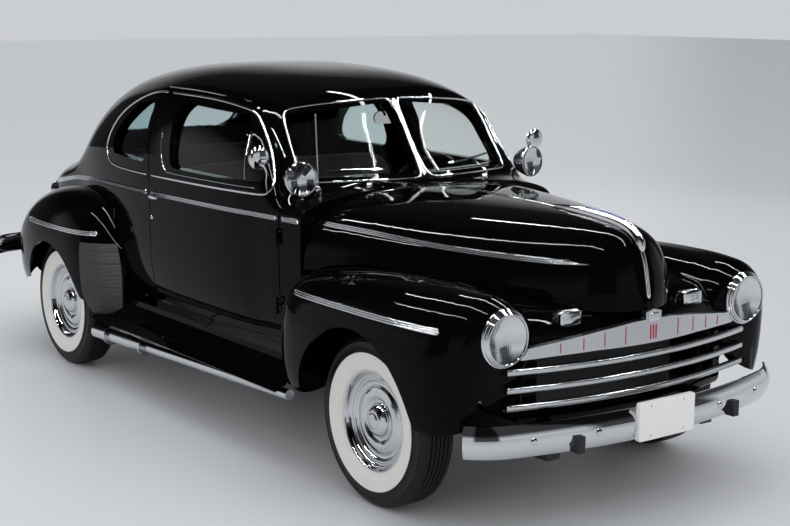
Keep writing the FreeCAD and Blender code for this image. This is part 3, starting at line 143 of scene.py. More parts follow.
class CoupeTrim(bpy.types.PropertyGroup):
    """Sizes of the bright trim."""
    belt_height: length_setting("Belt moulding", "Height of the ribbed belt moulding", 0.024, 0.01, 0.05)
    spear_height: length_setting("Fender spear", "Height of the ribbed fender spears", 0.026, 0.01, 0.05)
    rise: length_setting("Rise", "How far mouldings stand off the skin", 0.006, 0.002, 0.02)
    reveal_width: length_setting("Reveal", "Width of the bright window reveal", 0.012, 0.004, 0.02)
    screen_width: length_setting("Screen frame", "Width of the windscreen's bright frame", 0.011, 0.005, 0.03)


class CoupeWheel(bpy.types.PropertyGroup):
    """Sizes of the wheels' dress."""
    wall_inner: length_setting("White from", "Inner radius of the tyre's white band", 0.21, 0.2, 0.25)
    wall_outer: length_setting("White to", "Outer radius of the tyre's white band", 0.281, 0.25, 0.32)
    segments: bpy.props.IntProperty(name="Segments", description="Steps round a wheel", default=120, min=32,
                                    max=240)


class CoupeLooks(bpy.types.PropertyGroup):
    """All the settings that the operators read."""
    paint: bpy.props.PointerProperty(type=CoupePaint)
    trim: bpy.props.PointerProperty(type=CoupeTrim)
    wheel: bpy.props.PointerProperty(type=CoupeWheel)


def looks():
    return bpy.context.scene.coupe_looks


class Reading:
    """A number or vector that varies over a surface; sums and products of readings add nodes."""

    def __init__(self, finish, socket):
        self.finish, self.socket = finish, socket

    def math(self, operation, *others):
        return self.finish.node("ShaderNodeMath", {"operation": operation}, dict(enumerate((self,) + others)))

    def __add__(self, other):
        return self.math("ADD", other)

    def __mul__(self, other):
        return self.math("MULTIPLY", other)

    def __rsub__(self, other):
        return (self * -1.0).math("ADD", other)

    __radd__ = __add__
    __rmul__ = __mul__

    def above(self, limit):
        return self.math("GREATER_THAN", limit)


class Nodes:
    """A node tree to which readings are added."""

    def __init__(self, tree):
        self.tree = tree

    def node(self, kind, settings=None, values=None, out=0):
        """Adds a node with its settings, then its values or links, and reads one of its outputs."""
        made = self.tree.nodes.new(kind)
        for key, value in (settings or {}).items():
            setattr(made, key, value)
        for key, value in (values or {}).items():
            self.put(made.inputs[key], value)
        return Reading(self, made.outputs[out])

    def put(self, socket, value):
        if isinstance(value, Reading):
            self.tree.links.new(value.socket, socket)
        else:
            socket.default_value = value

    def places(self, source="Object"):
        """X, Y and Z of the surface's place."""
        place = self.node("ShaderNodeTexCoord", out=source)
        split = self.node("ShaderNodeSeparateXYZ", values={0: place})
        return place, [Reading(self, split.socket.node.outputs[k]) for k in range(3)]


class Finish(Nodes):
    """A material: one Principled shader, its constants set on the shader's own sockets."""

    def __init__(self, name, **constants):
        self.material = bpy.data.materials.new(name)
        self.material.use_nodes = True
        super().__init__(self.material.node_tree)
        self.shader = self.tree.nodes["Principled BSDF"]
        for key, value in constants.items():
            self.shader.inputs[key.replace("_", " ")].default_value = value

    def colour(self, mask, low, high):
        """Base colour that goes from low to high with a mask."""
        mixed = self.node("ShaderNodeMix", {"data_type": "RGBA"}, {0: mask, 6: low, 7: high}, out=2)
        self.put(self.shader.inputs["Base Color"], mixed)

    def bumps(self, height, distance):
        normal = self.node("ShaderNodeBump", values={"Height": height, "Distance": distance, "Strength": 1.0})
        self.put(self.shader.inputs["Normal"], normal)


def shaded(colour, share):
    """A colour made darker or paler."""
    return tuple(min(1, share * c) for c in colour[:3]) + (1,)


FINISHES = {}


def make_finishes():
    """The car's finishes by name."""
    paint = looks().paint
    body, bright = tuple(paint.body), tuple(paint.bright)

    def add(name, colour, rough, metal=0.0, **constants):
        FINISHES[name] = Finish(name, Base_Color=colour, Roughness=rough, Metallic=metal, **constants)
        return FINISHES[name]

    add("gloss_black", body, 0.02, IOR=1.36, Specular_IOR_Level=0.11)
    add("bright_chrome", bright, 0.05, 1.0)
    add("satin_chrome", shaded(bright, 0.86), 0.2, 1.0)
    add("wheel_plating", bright, 0.045, 1.0)
    add("dark_steel", (0.018, 0.018, 0.019, 1), 0.45, 0.3)
    add("cast_iron", (0.06, 0.058, 0.055, 1), 0.6, 0.6)
    add("accent_red", tuple(paint.accent), 0.35)
    add("plate_white", (0.9, 0.9, 0.89, 1), 0.3)
    add("white_wall", tuple(paint.wall), 0.42)
    clear, teal = (0.93, 0.96, 0.95, 1), (0.7, 0.83, 0.83, 1)
    thin_pane = {"Transmission_Weight": 1.0, "IOR": 1.15, "Specular_IOR_Level": 0.8}
    add("clear_glass", clear, 0.0, **thin_pane)
    fixed = add("fixed_glass", clear, 0.0, **thin_pane)
    _, (along, _, _) = fixed.places()
    fixed.colour(along.above(FRONT_AXLE - 0.6 * WHEELBASE), teal, clear)
    add("lens_glass", (0.97, 0.98, 0.98, 1), 0.0, Transmission_Weight=1.0, IOR=1.22)
    add("red_lens", (0.42, 0.006, 0.008, 1), 0.08, Coat_Weight=1.0, Coat_Roughness=0.02)
    add("blue_insert", (0.015, 0.05, 0.22, 1), 0.12, Coat_Weight=1.0)
    add("mirror_face", (0.72, 0.73, 0.74, 1), 0.02, 1.0)
    add("dash_paint", (0.02, 0.019, 0.018, 1), 0.25, Coat_Weight=0.6)
    add("dial_face", (0.3, 0.29, 0.26, 1), 0.4)
    add("black_plastic", (0.012, 0.012, 0.012, 1), 0.18, Coat_Weight=0.5)
    rubber = add("tyre_rubber", (0.006, 0.006, 0.006, 1), 0.5, Specular_IOR_Level=0.3)
    # Fine cuts round the tread, only between two levels of the section
    _, (u, v, _) = rubber.places("UV")
    sipes = (u * 720.0).math("SINE").above(0.72) * v.above(0.46) * (1.0 - v.above(0.8))
    rubber.bumps(1.0 - sipes, 0.004)
    shield = add("shield_rubber", (0.035, 0.036, 0.039, 1), 0.5)
    # Fine ribs in sections that are parted by grooves
    _, (_, _, level) = shield.places()
    section = (level * 15.7).math("FRACT").above(0.1)
    shield.bumps((level * 900.0).math("SINE") * 0.5 * section + section, 0.002)
    cloth = add("bench_cloth", tuple(paint.cloth), 0.85, Sheen_Weight=0.25)
    place, _ = cloth.places()
    weave = cloth.node("ShaderNodeTexNoise", values={"Vector": place, "Scale": 420.0, "Detail": 2.0})
    cloth.colour(weave, shaded(paint.cloth, 0.8), shaded(paint.cloth, 1.15))
    cloth.bumps(weave, 0.0008)


def spot(shares):
    """Places from rows of shares: behind the front axle, across to the left, and up."""
    rows = np.atleast_2d(np.asarray(shares, float))
    return np.stack([FRONT_AXLE - rows[:, 0] * WHEELBASE, rows[:, 1] * HALF_WIDTH, rows[:, 2] * ROOF], -1)


def point_at(*share):
    """One place, from its three shares."""
    return spot(share)[0]


def unit(rows):
    rows = np.asarray(rows, float)
    return rows / np.linalg.norm(rows, axis=-1, keepdims=True)


def arc_places(curve):
    """Length of a curve up to each of its points, from the start."""
    steps = np.linalg.norm(np.diff(curve, axis=0), axis=1)
    return np.concatenate([[0], np.cumsum(steps)])


def spline(points, count, closed=False):
    """Even points on the smooth curve through the given ones.

    Between points b and c, with neighbours a and d, the place at t is half of
    2b + (c - a)t + (2a - 5b + 4c - d)t^2 + (3b - a - 3c + d)t^3.
    """
    given = np.asarray(points, float)
    if closed:
        given = np.vstack([given[-1:], given, given[:2]])
    else:
        given = np.vstack([2 * given[0] - given[1], given, 2 * given[-1] - given[-2]])
    a, b, c, d = given[:-3], given[1:-2], given[2:-1], given[3:]
    steps = 24
    t = np.linspace(0, 1, steps, endpoint=False)[:, None, None]
    square, cube = 2 * a - 5 * b + 4 * c - d, 3 * b - a - 3 * c + d
    curve = (2 * b + (c - a) * t + square * t ** 2 + cube * t ** 3) / 2
    curve = np.vstack([curve.transpose(1, 0, 2).reshape(-1, given.shape[1]), given[-2:-1]])
    reach = arc_places(curve)
    even = np.linspace(0, reach[-1], count + 1 if closed else count)
    rows = np.stack([np.interp(even, reach, curve[:, k]) for k in range(curve.shape[1])], -1)
    return rows[:-1] if closed else rows


def ends(path, first, last, power=2.0):
    """Sizes along a path that grow from nothing at each end.

    They are (1 - (1 - d / r)^p)^(1 / p), d being the way from that end and r the rounding's reach. Power 2 is
    a round end and power 1 a point.
    """
    reach = arc_places(path)
    size = np.ones(len(path))
    for way, radius in ((reach, first), (reach[-1] - reach, last)):
        if radius:
            share = np.clip(way / radius, 0, 1)
            size = np.minimum(size, (1 - (1 - share) ** power) ** (1 / power))
    least = 0.002
    return np.maximum(size, least)


def carried(path, out, section, sizes=None, closed=False):
    """Rows of a section carried along a path: path + side * a + out * b for each section point (a, b)."""
    path, out, section = (np.asarray(v, float) for v in (path, out, section))
    step = np.roll(path, -1, 0) - np.roll(path, 1, 0) if closed else np.gradient(path, axis=0)
    side = unit(np.cross(unit(step), out))
    out = unit(np.broadcast_to(out, path.shape))
    sizes = np.ones(len(path)) if sizes is None else sizes
    a = section[None, :, 0:1] * sizes[:, None, None]
    b = section[None, :, 1:2] * sizes[:, None, None]
    return path[:, None] + side[:, None] * a + out[:, None] * b


def turned(profile, centre, axis, count=64):
    """Rows of a profile turned round an axis: centre + axis * h + radius * (first cos t + second sin t)."""
    axis = unit(axis)
    first = unit(np.cross(axis, (0.0, 0.0, 1.0) if abs(axis[2]) < 0.9 else (1.0, 0.0, 0.0)))
    second = np.cross(axis, first)
    t = np.linspace(0, 2 * math.pi, count, endpoint=False)[None, :, None]
    profile = np.asarray(profile, float)
    radius, level = profile[:, 0, None, None], profile[:, 1, None, None]
    return np.asarray(centre, float) + axis * level + radius * (first * np.cos(t) + second * np.sin(t))


def ribbed(width, rise, ribs=3, steps=6):
    """Closed section of a ribbed moulding, its back under the skin.

    Its height over the width is rise * (0.4 + 0.6 |sin(ribs pi u)|).
    """
    u = np.linspace(0, 1, ribs * steps + 1)
    front = np.stack([(0.5 - u) * width, rise * (0.4 + 0.6 * np.abs(np.sin(math.pi * ribs * u)))], -1)
    return np.vstack([front, [[-width / 2, -rise * 0.5], [width / 2, -rise * 0.5]]])


def bead(width, rise, steps=10):
    """Closed section of a half round bead: (width / 2 cos t, rise sin t), its back under the skin."""
    t = np.linspace(0, math.pi, steps)
    front = np.stack([np.cos(t) * width / 2, np.sin(t) * rise], -1)
    return np.vstack([front, [[-width / 2, -rise * 0.6], [width / 2, -rise * 0.6]]])


def round_section(radius, steps=12):
    t = np.linspace(0, 2 * math.pi, steps, endpoint=False)
    return np.stack([np.cos(t), np.sin(t)], -1) * radius


def rounded_outline(width, height, radius, steps=7):
    """Closed outline of a rectangle whose corners are quarter circles."""
    t = np.linspace(0, math.pi / 2, steps)
    rows = []
    for turn, (sx, sy) in enumerate(((1, 1), (-1, 1), (-1, -1), (1, -1))):
        angle = t + turn * math.pi / 2
        middle_x, middle_y = sx * (width / 2 - radius), sy * (height / 2 - radius)
        rows.append(np.stack([middle_x + radius * np.cos(angle), middle_y + radius * np.sin(angle)], -1))
    return np.vstack(rows)


def plate_rows(outline, centre, right, up, depth, edge, steps=5):
    """Rows of a plate: an outline raised by depth along right x up, its front edge a quarter circle."""
    right, up = unit(right), unit(up)
    out = np.cross(right, up)
    step = unit(np.roll(outline, -1, 0) - np.roll(outline, 1, 0))
    inward = np.stack([-step[:, 1], step[:, 0]], -1)
    t = np.linspace(0, math.pi / 2, steps)
    insets = np.concatenate([[0], edge * (1 - np.cos(t))])
    levels = np.concatenate([[0], depth - edge + edge * np.sin(t)])
    flat = outline[None] + inward[None] * insets[:, None, None]
    return np.asarray(centre) + flat[..., 0:1] * right + flat[..., 1:2] * up + levels[:, None, None] * out


def dome_rows(centre, out, radius, rise, steps=5, count=20):
    """Rows of a dome: radius cos t from the axis and rise sin t along it, on a short neck under the skin."""
    t = np.linspace(0, math.pi / 2, steps)
    profile = np.stack([radius * np.cos(t), rise * np.sin(t)], -1)
    return turned(np.vstack([[[radius, -rise * 0.6]], profile[:-1], [[CORE, rise]]]), centre, out, count)


class Shape:
    """Points and faces of one piece, gathered grid by grid."""

    def __init__(self):
        self.points, self.faces, self.slots, self.marks, self.count = [], [], [], [], 0

    def grid(self, rows, around=True, along=False, caps=True, slot=0):
        """Rows of points joined into faces: each point to the next one and to its like in the next row.

        slot is a material number, or one number for each step from row to row.
        """
        rows = np.asarray(rows, float)
        n, m = rows.shape[:2]
        tall, wide = n if along else n - 1, m if around else m - 1
        i, j = (v.ravel() for v in np.meshgrid(np.arange(tall), np.arange(wide), indexing="ij"))
        k, l = (i + 1) % n, (j + 1) % m
        quads = np.stack([i * m + j, i * m + l, k * m + l, k * m + j], -1) + self.count
        marks = np.stack([j / wide, i / tall, (j + 1) / wide, i / tall, (j + 1) / wide, (i + 1) / tall,
                          j / wide, (i + 1) / tall], -1)
        self.faces += quads.tolist()
        self.marks.append(marks.reshape(-1, 2))
        self.slots.append(np.broadcast_to(np.asarray(slot), (tall,)).repeat(wide))
        if caps and around and not along:
            self.faces += [(np.arange(m)[::-1] + self.count).tolist(),
                           (np.arange(m) + (n - 1) * m + self.count).tolist()]
            self.marks.append(np.zeros((2 * m, 2)))
            self.slots.append(np.full(2, np.ravel(slot)[0]))
        self.points.append(rows.reshape(-1, 3))
        self.count += n * m
        return self

    def twin(self):
        """The same again, mirrored to the other side of the car."""
        other = np.vstack(self.points) * (1, -1, 1)
        self.points.append(other)
        self.faces += [[v + self.count for v in face] for face in self.faces]
        self.marks.append(np.vstack(self.marks))
        self.slots.append(np.concatenate(self.slots))
        self.count *= 2
        return self

    def piece(self, name, body="root", finishes="bright_chrome", slot="chrome", replaces=(), sharp=38.0):
        """The mesh in the scene, its seams joined and its faces turned outwards, smooth up to an angle."""
        mesh = bpy.data.meshes.new(name)
        mesh.from_pydata(np.vstack(self.points).tolist(), [], self.faces)
        for finish in [finishes] if isinstance(finishes, str) else finishes:
            mesh.materials.append(FINISHES[finish].material)
        mesh.polygons.foreach_set("material_index", np.concatenate(self.slots).astype(np.int32))
        layer = mesh.uv_layers.new(name="UVMap")
        layer.uv.foreach_set("vector", np.vstack(self.marks).ravel())
        work = bmesh.new()
        work.from_mesh(mesh)
        bmesh.ops.remove_doubles(work, verts=work.verts, dist=WELD)
        bmesh.ops.dissolve_degenerate(work, edges=work.edges, dist=WELD)
        bmesh.ops.recalc_face_normals(work, faces=work.faces)
        work.to_mesh(mesh)
        work.free()
        mesh.polygons.foreach_set("use_smooth", np.ones(len(mesh.polygons), bool))
        mesh.set_sharp_from_angle(angle=math.radians(sharp))
        mesh.update()
        return dressed(name, mesh, body, replaces)


def dressed(name, mesh, body, replaces=()):
    """A finished piece in the scene, riding on its body."""
    made = bpy.data.objects.new(name, mesh)
    bpy.context.scene.collection.objects.link(made)
    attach(made, body)
    if replaces:
        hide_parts(*replaces)
    return made


def body_name(node):
    return frame["nodes"][node].parent.name.split(":", 1)[1]


def refined(node, finish):
    """The CAD node's own form with its loose triangles joined, shaded by the normals of its surfaces."""
    source = frame["nodes"][node].data
    points = np.empty((len(source.vertices), 3))
    source.vertices.foreach_get("co", points.ravel())
    corners = np.empty(len(source.loops), int)
    source.loops.foreach_get("vertex_index", corners)
    normals = np.empty((len(source.loops), 3))
    source.corner_normals.foreach_get("vector", normals.ravel())
    _, first, joined = np.unique(np.round(points / JOIN), axis=0, return_index=True, return_inverse=True)
    faces = joined.ravel()[corners].reshape(-1, 3)
    whole = (faces != np.roll(faces, 1, 1)).all(1)
    mesh = bpy.data.meshes.new(node + "_finish")
    mesh.from_pydata(points[first].tolist(), [], faces[whole].tolist())
    mesh.materials.append(FINISHES[finish].material)
    mesh.polygons.foreach_set("use_smooth", np.ones(whole.sum(), bool))
    mesh.normals_split_custom_set(normals.reshape(-1, 3, 3)[whole].reshape(-1, 3).tolist())
    return dressed(node + "_finish", mesh, body_name(node), (node,))


def coated(node, finish):
    """A finish on a CAD node that is shown as it is."""
    mesh = frame["nodes"][node].data
    mesh.materials.clear()
    mesh.materials.append(FINISHES[finish].material)


TREES = {}


def tree_of(*nodes):
    """Search tree over the triangles of CAD nodes."""
    if nodes not in TREES:
        points, faces = [], []
        for node in nodes:
            mesh = frame["nodes"][node].data
            base = len(points)
            points += [v.co for v in mesh.vertices]
            faces += [tuple(base + v for v in p.vertices) for p in mesh.polygons]
        TREES[nodes] = BVHTree.FromPolygons(points, faces)
    return TREES[nodes]


def evened(rows, times, closed=False):
    """Each row becomes half of itself and a quarter of each neighbour, so many times over."""
    for _ in range(times):
        near = (np.roll(rows, 1, 0) + np.roll(rows, -1, 0)) / 4 + rows / 2
        if not closed:
            near[0], near[-1] = rows[0], rows[-1]
        rows = near
    return rows


def laid(nodes, points, way, times=6, closed=False):
    """Points carried along a way to the first skin they meet, with the skin's outward directions there."""
    tree = tree_of(*nodes)
    way = Vector(way).normalized()
    hits = [tree.ray_cast(Vector(p) - way * FAR, way) for p in points]
    if any(hit[0] is None for hit in hits):
        lost = [tuple(round(v, 3) for v in p) for p, hit in zip(points, hits) if hit[0] is None]
        raise RuntimeError("a trim line misses %s at %s" % (", ".join(nodes), lost[:3]))
    place = np.array([hit[0] for hit in hits])
    out = np.array([hit[1] for hit in hits])
    out = out * -np.sign(out @ np.array(way))[:, None]
    return evened(place, times, closed), unit(evened(out, times * 2, closed))


def landed(node, share, way):
    """One place carried onto a CAD node's skin, with the skin's outward direction there."""
    place, out = laid((node,), spot(share), way, 0)
    return place[0], out[0]


def fitted(place, out, way, degree=3):
    """Places evened onto one smooth surface.

    The coordinate along the way becomes the polynomial in the other two that fits the places best. Each place
    weighs 1 / (1 + (miss / 3 mm)^2), and the outward directions follow the polynomial's slopes.
    """
    axis = int(np.abs(way).argmax())
    first, second = (k for k in range(3) if k != axis)
    u, v = ((place[:, k] - place[:, k].mean()) / np.ptp(place[:, k]) for k in (first, second))
    powers = [(i, j) for i in range(degree + 1) for j in range(degree + 1 - i)]
    terms = np.stack([u ** i * v ** j for i, j in powers], -1)
    goal = place[:, axis]
    stray, miss = 0.35, 0.003
    weight = (np.abs(goal - np.median(goal)) < stray).astype(float)
    for _ in range(12):
        factors = np.linalg.lstsq(terms * weight[:, None], goal * weight, rcond=None)[0]
        weight = 1 / (1 + ((goal - terms @ factors) / miss) ** 2)
    place, out = place.copy(), np.zeros_like(out)
    slope_u = sum(f * i * u ** max(i - 1, 0) * v ** j for f, (i, j) in zip(factors, powers))
    slope_v = sum(f * j * u ** i * v ** max(j - 1, 0) for f, (i, j) in zip(factors, powers))
    out[:, axis] = 1.0
    out[:, first] = -slope_u / np.ptp(place[:, first])
    out[:, second] = -slope_v / np.ptp(place[:, second])
    place[:, axis] = terms @ factors
    return place, unit(out * -np.sign(way[axis]))


def side_of(sign):
    return "left" if sign > 0 else "right"


def put_moulding(shape, node, points, way, section, first=0.0, last=0.0, power=2.0, times=6):
    """A moulding laid on a CAD node's skin along a line."""
    place, out = laid((node,), points, way, times)
    return shape.grid(carried(place, out, section, ends(place, first, last, power)))


class CarOperator:
    """What the car's operators share."""
    bl_options = {"REGISTER", "UNDO"}

    def execute(self, context):
        self.make()
        return {"FINISHED"}


class COUPE_OT_stage(CarOperator, bpy.types.Operator):
    """Make the floor, the lights, the background and the camera"""
    bl_idname = "coupe.stage"
    bl_label = "Stage"

    def make(self):
        scene = bpy.context.scene
        scene.view_settings.view_transform = "Standard"
        floor = bpy.data.meshes.new("floor")
        reach = 60.0
        corners = [(x * reach, y * reach, 0) for x, y in ((-1, -1), (1, -1), (1, 1), (-1, 1))]
        floor.from_pydata(corners, [], [(0, 1, 2, 3)])
        pale = Finish("pale_floor", Base_Color=(0.72, 0.735, 0.75, 1), Roughness=0.3,
                      Specular_IOR_Level=0.06)
        floor.materials.append(pale.material)
        ground = bpy.data.objects.new("floor", floor)
        scene.collection.objects.link(ground)
        lamps = [("ceiling", (0.0, 0.0, 5.2), (9.0, 4.2), 90.0),
                 ("side_fill", (3.0, -7.5, 3.2), (5.0, 2.2), 25.0),
                 ("far_fill", (-2.0, 7.5, 3.4), (6.0, 2.2), 30.0)]
        tubes = (-2.5, -0.9, 0.9, 2.5)
        lamps += [("tube_%d" % n, (0.6 + 0.5 * n, y, 3.6), (4.6, 0.07), 90.0) for n, y in enumerate(tubes)]
        for name, place, size, power in lamps:
            light = bpy.data.lights.new(name, "AREA")
            light.shape, light.size, light.size_y, light.energy = "RECTANGLE", size[0], size[1], power
            lamp = bpy.data.objects.new(name, light)
            lamp.location = place
            if name.endswith("fill"):
                aim = Vector((place[0], 0.0, 0.4)) - Vector(place)
                lamp.rotation_mode = "QUATERNION"
                lamp.rotation_quaternion = aim.to_track_quat("-Z", "Y")
            lamp.visible_glossy = name.startswith("tube")
            lamp.visible_diffuse = not lamp.visible_glossy
            scene.collection.objects.link(lamp)
        self.world(scene)
        camera = bpy.data.cameras.new("camera")
        camera.sensor_width, camera.lens = 36.0, 18.0 / math.tan(math.radians(VIEW_ANGLE / 2))
        camera.clip_end = 200
        eye = bpy.data.objects.new("camera", camera)
        back = Vector((math.sin(AZIMUTH) * math.cos(RISE), -math.cos(AZIMUTH) * math.cos(RISE),
                       math.sin(RISE)))
        level = Vector(UP).cross(back).normalized()
        upright = back.cross(level)
        right = level * math.cos(ROLL) + upright * math.sin(ROLL)
        up = upright * math.cos(ROLL) - level * math.sin(ROLL)
        turn = Matrix((right, up, back)).transposed().to_4x4()
        eye.matrix_world = Matrix.Translation(EYE) @ turn
        scene.collection.objects.link(eye)
        scene.camera = eye

    def world(self, scene):
        """Pale wall round the horizon and dark overhead.

        Reflections see dark curtains along the wall, and matt surfaces an even light.
        """
        world = bpy.data.worlds.new("studio")
        scene.world = world
        world.use_nodes = True
        nodes = Nodes(world.node_tree)
        _, (x, y, z) = nodes.places("Generated")
        wall = nodes.node("ShaderNodeValToRGB", values={0: z})
        stops = wall.socket.node.color_ramp.elements
        stops[0].position, stops[0].color = 0.0, (0.6, 0.615, 0.63, 1)
        stops[1].position, stops[1].color = 0.4, (0.05, 0.05, 0.053, 1)
        stops.new(0.16).color = (0.66, 0.68, 0.7, 1)
        camera, glossy, through = (nodes.node("ShaderNodeLightPath", out="Is %s Ray" % kind)
                                   for kind in ("Camera", "Glossy", "Transmission"))
        seen = (camera + glossy + through).math("MINIMUM", 1.0)
        mixed = nodes.node("ShaderNodeMix", {"data_type": "RGBA"},
                           {0: seen, 6: (0.82, 0.83, 0.85, 1), 7: wall}, out=2)
        curtains, turn, edge, width = 5.0, 0.9, 2.5, 0.8
        folds = (y.math("ARCTAN2", x) * curtains + turn).math("SINE") * edge + width
        gaps = folds.math("MAXIMUM", 0.1).math("MINIMUM", 1.0)
        background = world.node_tree.nodes["Background"]
        nodes.put(background.inputs["Color"], mixed)
        nodes.put(background.inputs["Strength"], 1.0 - glossy * (1.0 - gaps))


class COUPE_OT_paintwork(CarOperator, bpy.types.Operator):
    """Give every painted panel its gloss black skin"""
    bl_idname = "coupe.paintwork"
    bl_label = "Paintwork"

    def make(self):
        for node in ("body_shell", "door_left", "door_right", "deck_lid", "hood", "front_fenders",
                     "rear_fenders", "grille_panel", "running_boards"):
            refined(node, "gloss_black")


class COUPE_OT_plain_parts(CarOperator, bpy.types.Operator):
    """Finish the pieces that keep their plain CAD forms"""
    bl_idname = "coupe.plain_parts"
    bl_label = "Plain pieces"

    def make(self):
        for node in ("frame_rails", "front_axle", "rear_axle", "knuckle_left", "knuckle_right", "fuel_tank",
                     "radiator", "seat_frames"):
            coated(node, "dark_steel")
        coated("engine", "cast_iron")
        coated("dashboard", "dash_paint")
        refined("steering_column", "dark_steel")
        refined("gravel_shields", "shield_rubber")
        for node in ("lake_pipes", "front_bumper", "rear_bumper", "deck_handle"):
            refined(node, "bright_chrome")


# Corners of the windscreen's left pane, in shares across and up
WINDSCREEN = ((0.018, 0.722), (0.625, 0.722), (0.598, 0.882), (0.018, 0.908))


def screen_outline(grow, sign):
    """Outline of one pane of the windscreen, grown all round, as rows of shares."""
    low, side, top_side, top = WINDSCREEN
    points = [(low[0] - grow, low[1] - grow), (side[0] + grow, side[1] - grow),
              (top_side[0] + grow, top_side[1] + grow), (0.45, 0.8935 + grow), (0.25, 0.9025 + grow),
              (top[0] - grow, top[1] + grow)]
    rows = polygon_loop(points, 180, 24)
    return np.stack([np.zeros(len(rows)), rows[:, 0] * sign, rows[:, 1]], -1)


def framed(shape, outline, way, section):
    """A closed frame round an opening of the body shell."""
    place, out = fitted(*laid(("body_shell",), spot(outline), way, 0, True), way)
    shape.grid(carried(place, out, section, closed=True), along=True)


class COUPE_OT_glazing(CarOperator, bpy.types.Operator):
    """Finish the panes and make their bright frames and the wipers"""
    bl_idname = "coupe.glazing"
    bl_label = "Glazing"

    def make(self):
        refined("fixed_glass", "fixed_glass")
        for side in ("left", "right"):
            refined("door_glass_" + side, "clear_glass")
        width = looks().trim.screen_width
        frames = Shape()
        for sign in (RIGHT, LEFT):
            framed(frames, screen_outline(0.01, sign), BACK, bead(width, 0.007))
        bar = spot([(0, 0, z) for z in np.linspace(0.716, 0.913, 30)])
        put_moulding(frames, "body_shell", bar, BACK, bead(0.02, 0.009))
        half, low, high = 0.395, 0.745, 0.865
        outline = rounded_outline(2 * (half + 0.012), high - low + 0.016, 0.03, 10)
        outline = np.stack([np.zeros(len(outline)), outline[:, 0], outline[:, 1] + (low + high) / 2], -1)
        framed(frames, outline, FORTH, bead(width * 0.7, 0.006))
        frames.piece("window_frames")
        wipers = Shape()
        for pivot, start, end in (((-0.36, 0.7), (-0.481, 0.733), (-0.2, 0.731)),
                                  ((0.36, 0.7), (0.2, 0.733), (0.54, 0.748))):
            base, up = landed("body_shell", (0, *pivot), BACK)
            across, level = (np.linspace(first, last, 24) for first, last in zip(start, end))
            line = spot(np.stack([np.zeros(24), across, level], -1))
            blade, out = laid(("fixed_glass", "body_shell"), line, BACK, 4)
            blade = blade + out * 0.012
            wipers.grid(carried(blade, out, rounded_outline(0.009, 0.012, 0.003, 3)))
            arm = spline([base + up * 0.012, base + up * 0.03, blade[12] + out[12] * 0.012], 16)
            wipers.grid(carried(arm, (0.6, 0.0, 0.8), round_section(0.004, 8)))
            wipers.grid(dome_rows(base, up, 0.016, 0.022))
        wipers.piece("wipers")


# Lines on the car's side, in shares behind the front axle and up
REVEAL = ((0.6911, 0.9135), (0.5741, 0.912), (0.4938, 0.906), (0.4354, 0.8953), (0.403, 0.885),
          (0.3807, 0.866), (0.363, 0.842), (0.3448, 0.801), (0.329, 0.76), (0.3175, 0.729),
          (0.3115, 0.708), (0.3125, 0.69), (0.324, 0.6815), (0.399, 0.6795), (0.5059, 0.678),
          (0.5875, 0.6772), (0.6683, 0.6765), (0.7449, 0.6758), (0.8133, 0.6775), (0.8507, 0.687),
          (0.869, 0.7085), (0.8745, 0.7329), (0.869, 0.7645), (0.85, 0.8113), (0.8243, 0.848),
          (0.7978, 0.872), (0.77, 0.891), (0.735, 0.907))
DOOR_LIP = ((0.6327, 0.8012), (0.628, 0.76), (0.6236, 0.734), (0.612, 0.702), (0.5902, 0.6945),
            (0.47, 0.6945), (0.34, 0.695))
DRIP_RAIL = ((0.7, 0.927), (0.5821, 0.9255), (0.4718, 0.9145), (0.4, 0.899), (0.372, 0.869),
             (0.3439, 0.8207), (0.322, 0.772))
BELT = ((0.224, 0.628), (0.29, 0.628), (0.47, 0.627), (0.62, 0.625), (0.76, 0.621), (0.89, 0.615),
        (0.985, 0.607), (1.08, 0.593), (1.13, 0.582), (1.2, 0.563), (1.242, 0.551), (1.285, 0.536),
        (1.325, 0.517))

# Runs of the belt and the reveal between the shut lines
COWL_BELT, DOOR_BELT, REAR_BELT = (0.2262, 0.2735), (0.2792, 0.667), (0.677, 1.324)
DOOR_REVEAL, QUARTER_REVEAL = (0.0, 0.667), (0.6785, 1.0)


def polygon_loop(points, count, rounding):
    """Even points round a polygon, its corners rounded by evening each point with its neighbours."""
    rows = np.asarray(points, float)
    rows = np.vstack([rows, rows[:1]])
    reach = arc_places(rows)
    even = np.linspace(0, reach[-1], count, endpoint=False)
    return evened(np.stack([np.interp(even, reach, rows[:, k]) for k in range(2)], -1), rounding, True)


def side_line(points, sign, count, closed=False):
    """Even points on a smooth line drawn on the car's side in shares along and up."""
    rows = spline(points, count, closed)
    return spot(np.stack([rows[:, 0], np.full(len(rows), sign * BESIDE), rows[:, 1]], -1))


def cut_runs(rows, low, high):
    """The run of rows whose place along the car, in shares, lies between two shares, as one line."""
    share = (FRONT_AXLE - rows[:, 0]) / WHEELBASE
    inside = (share > low) & (share < high)
    first = np.flatnonzero(inside & ~np.roll(inside, 1))
    return np.roll(rows, -first[0], 0)[:inside.sum()] if len(first) == 1 else rows[inside]


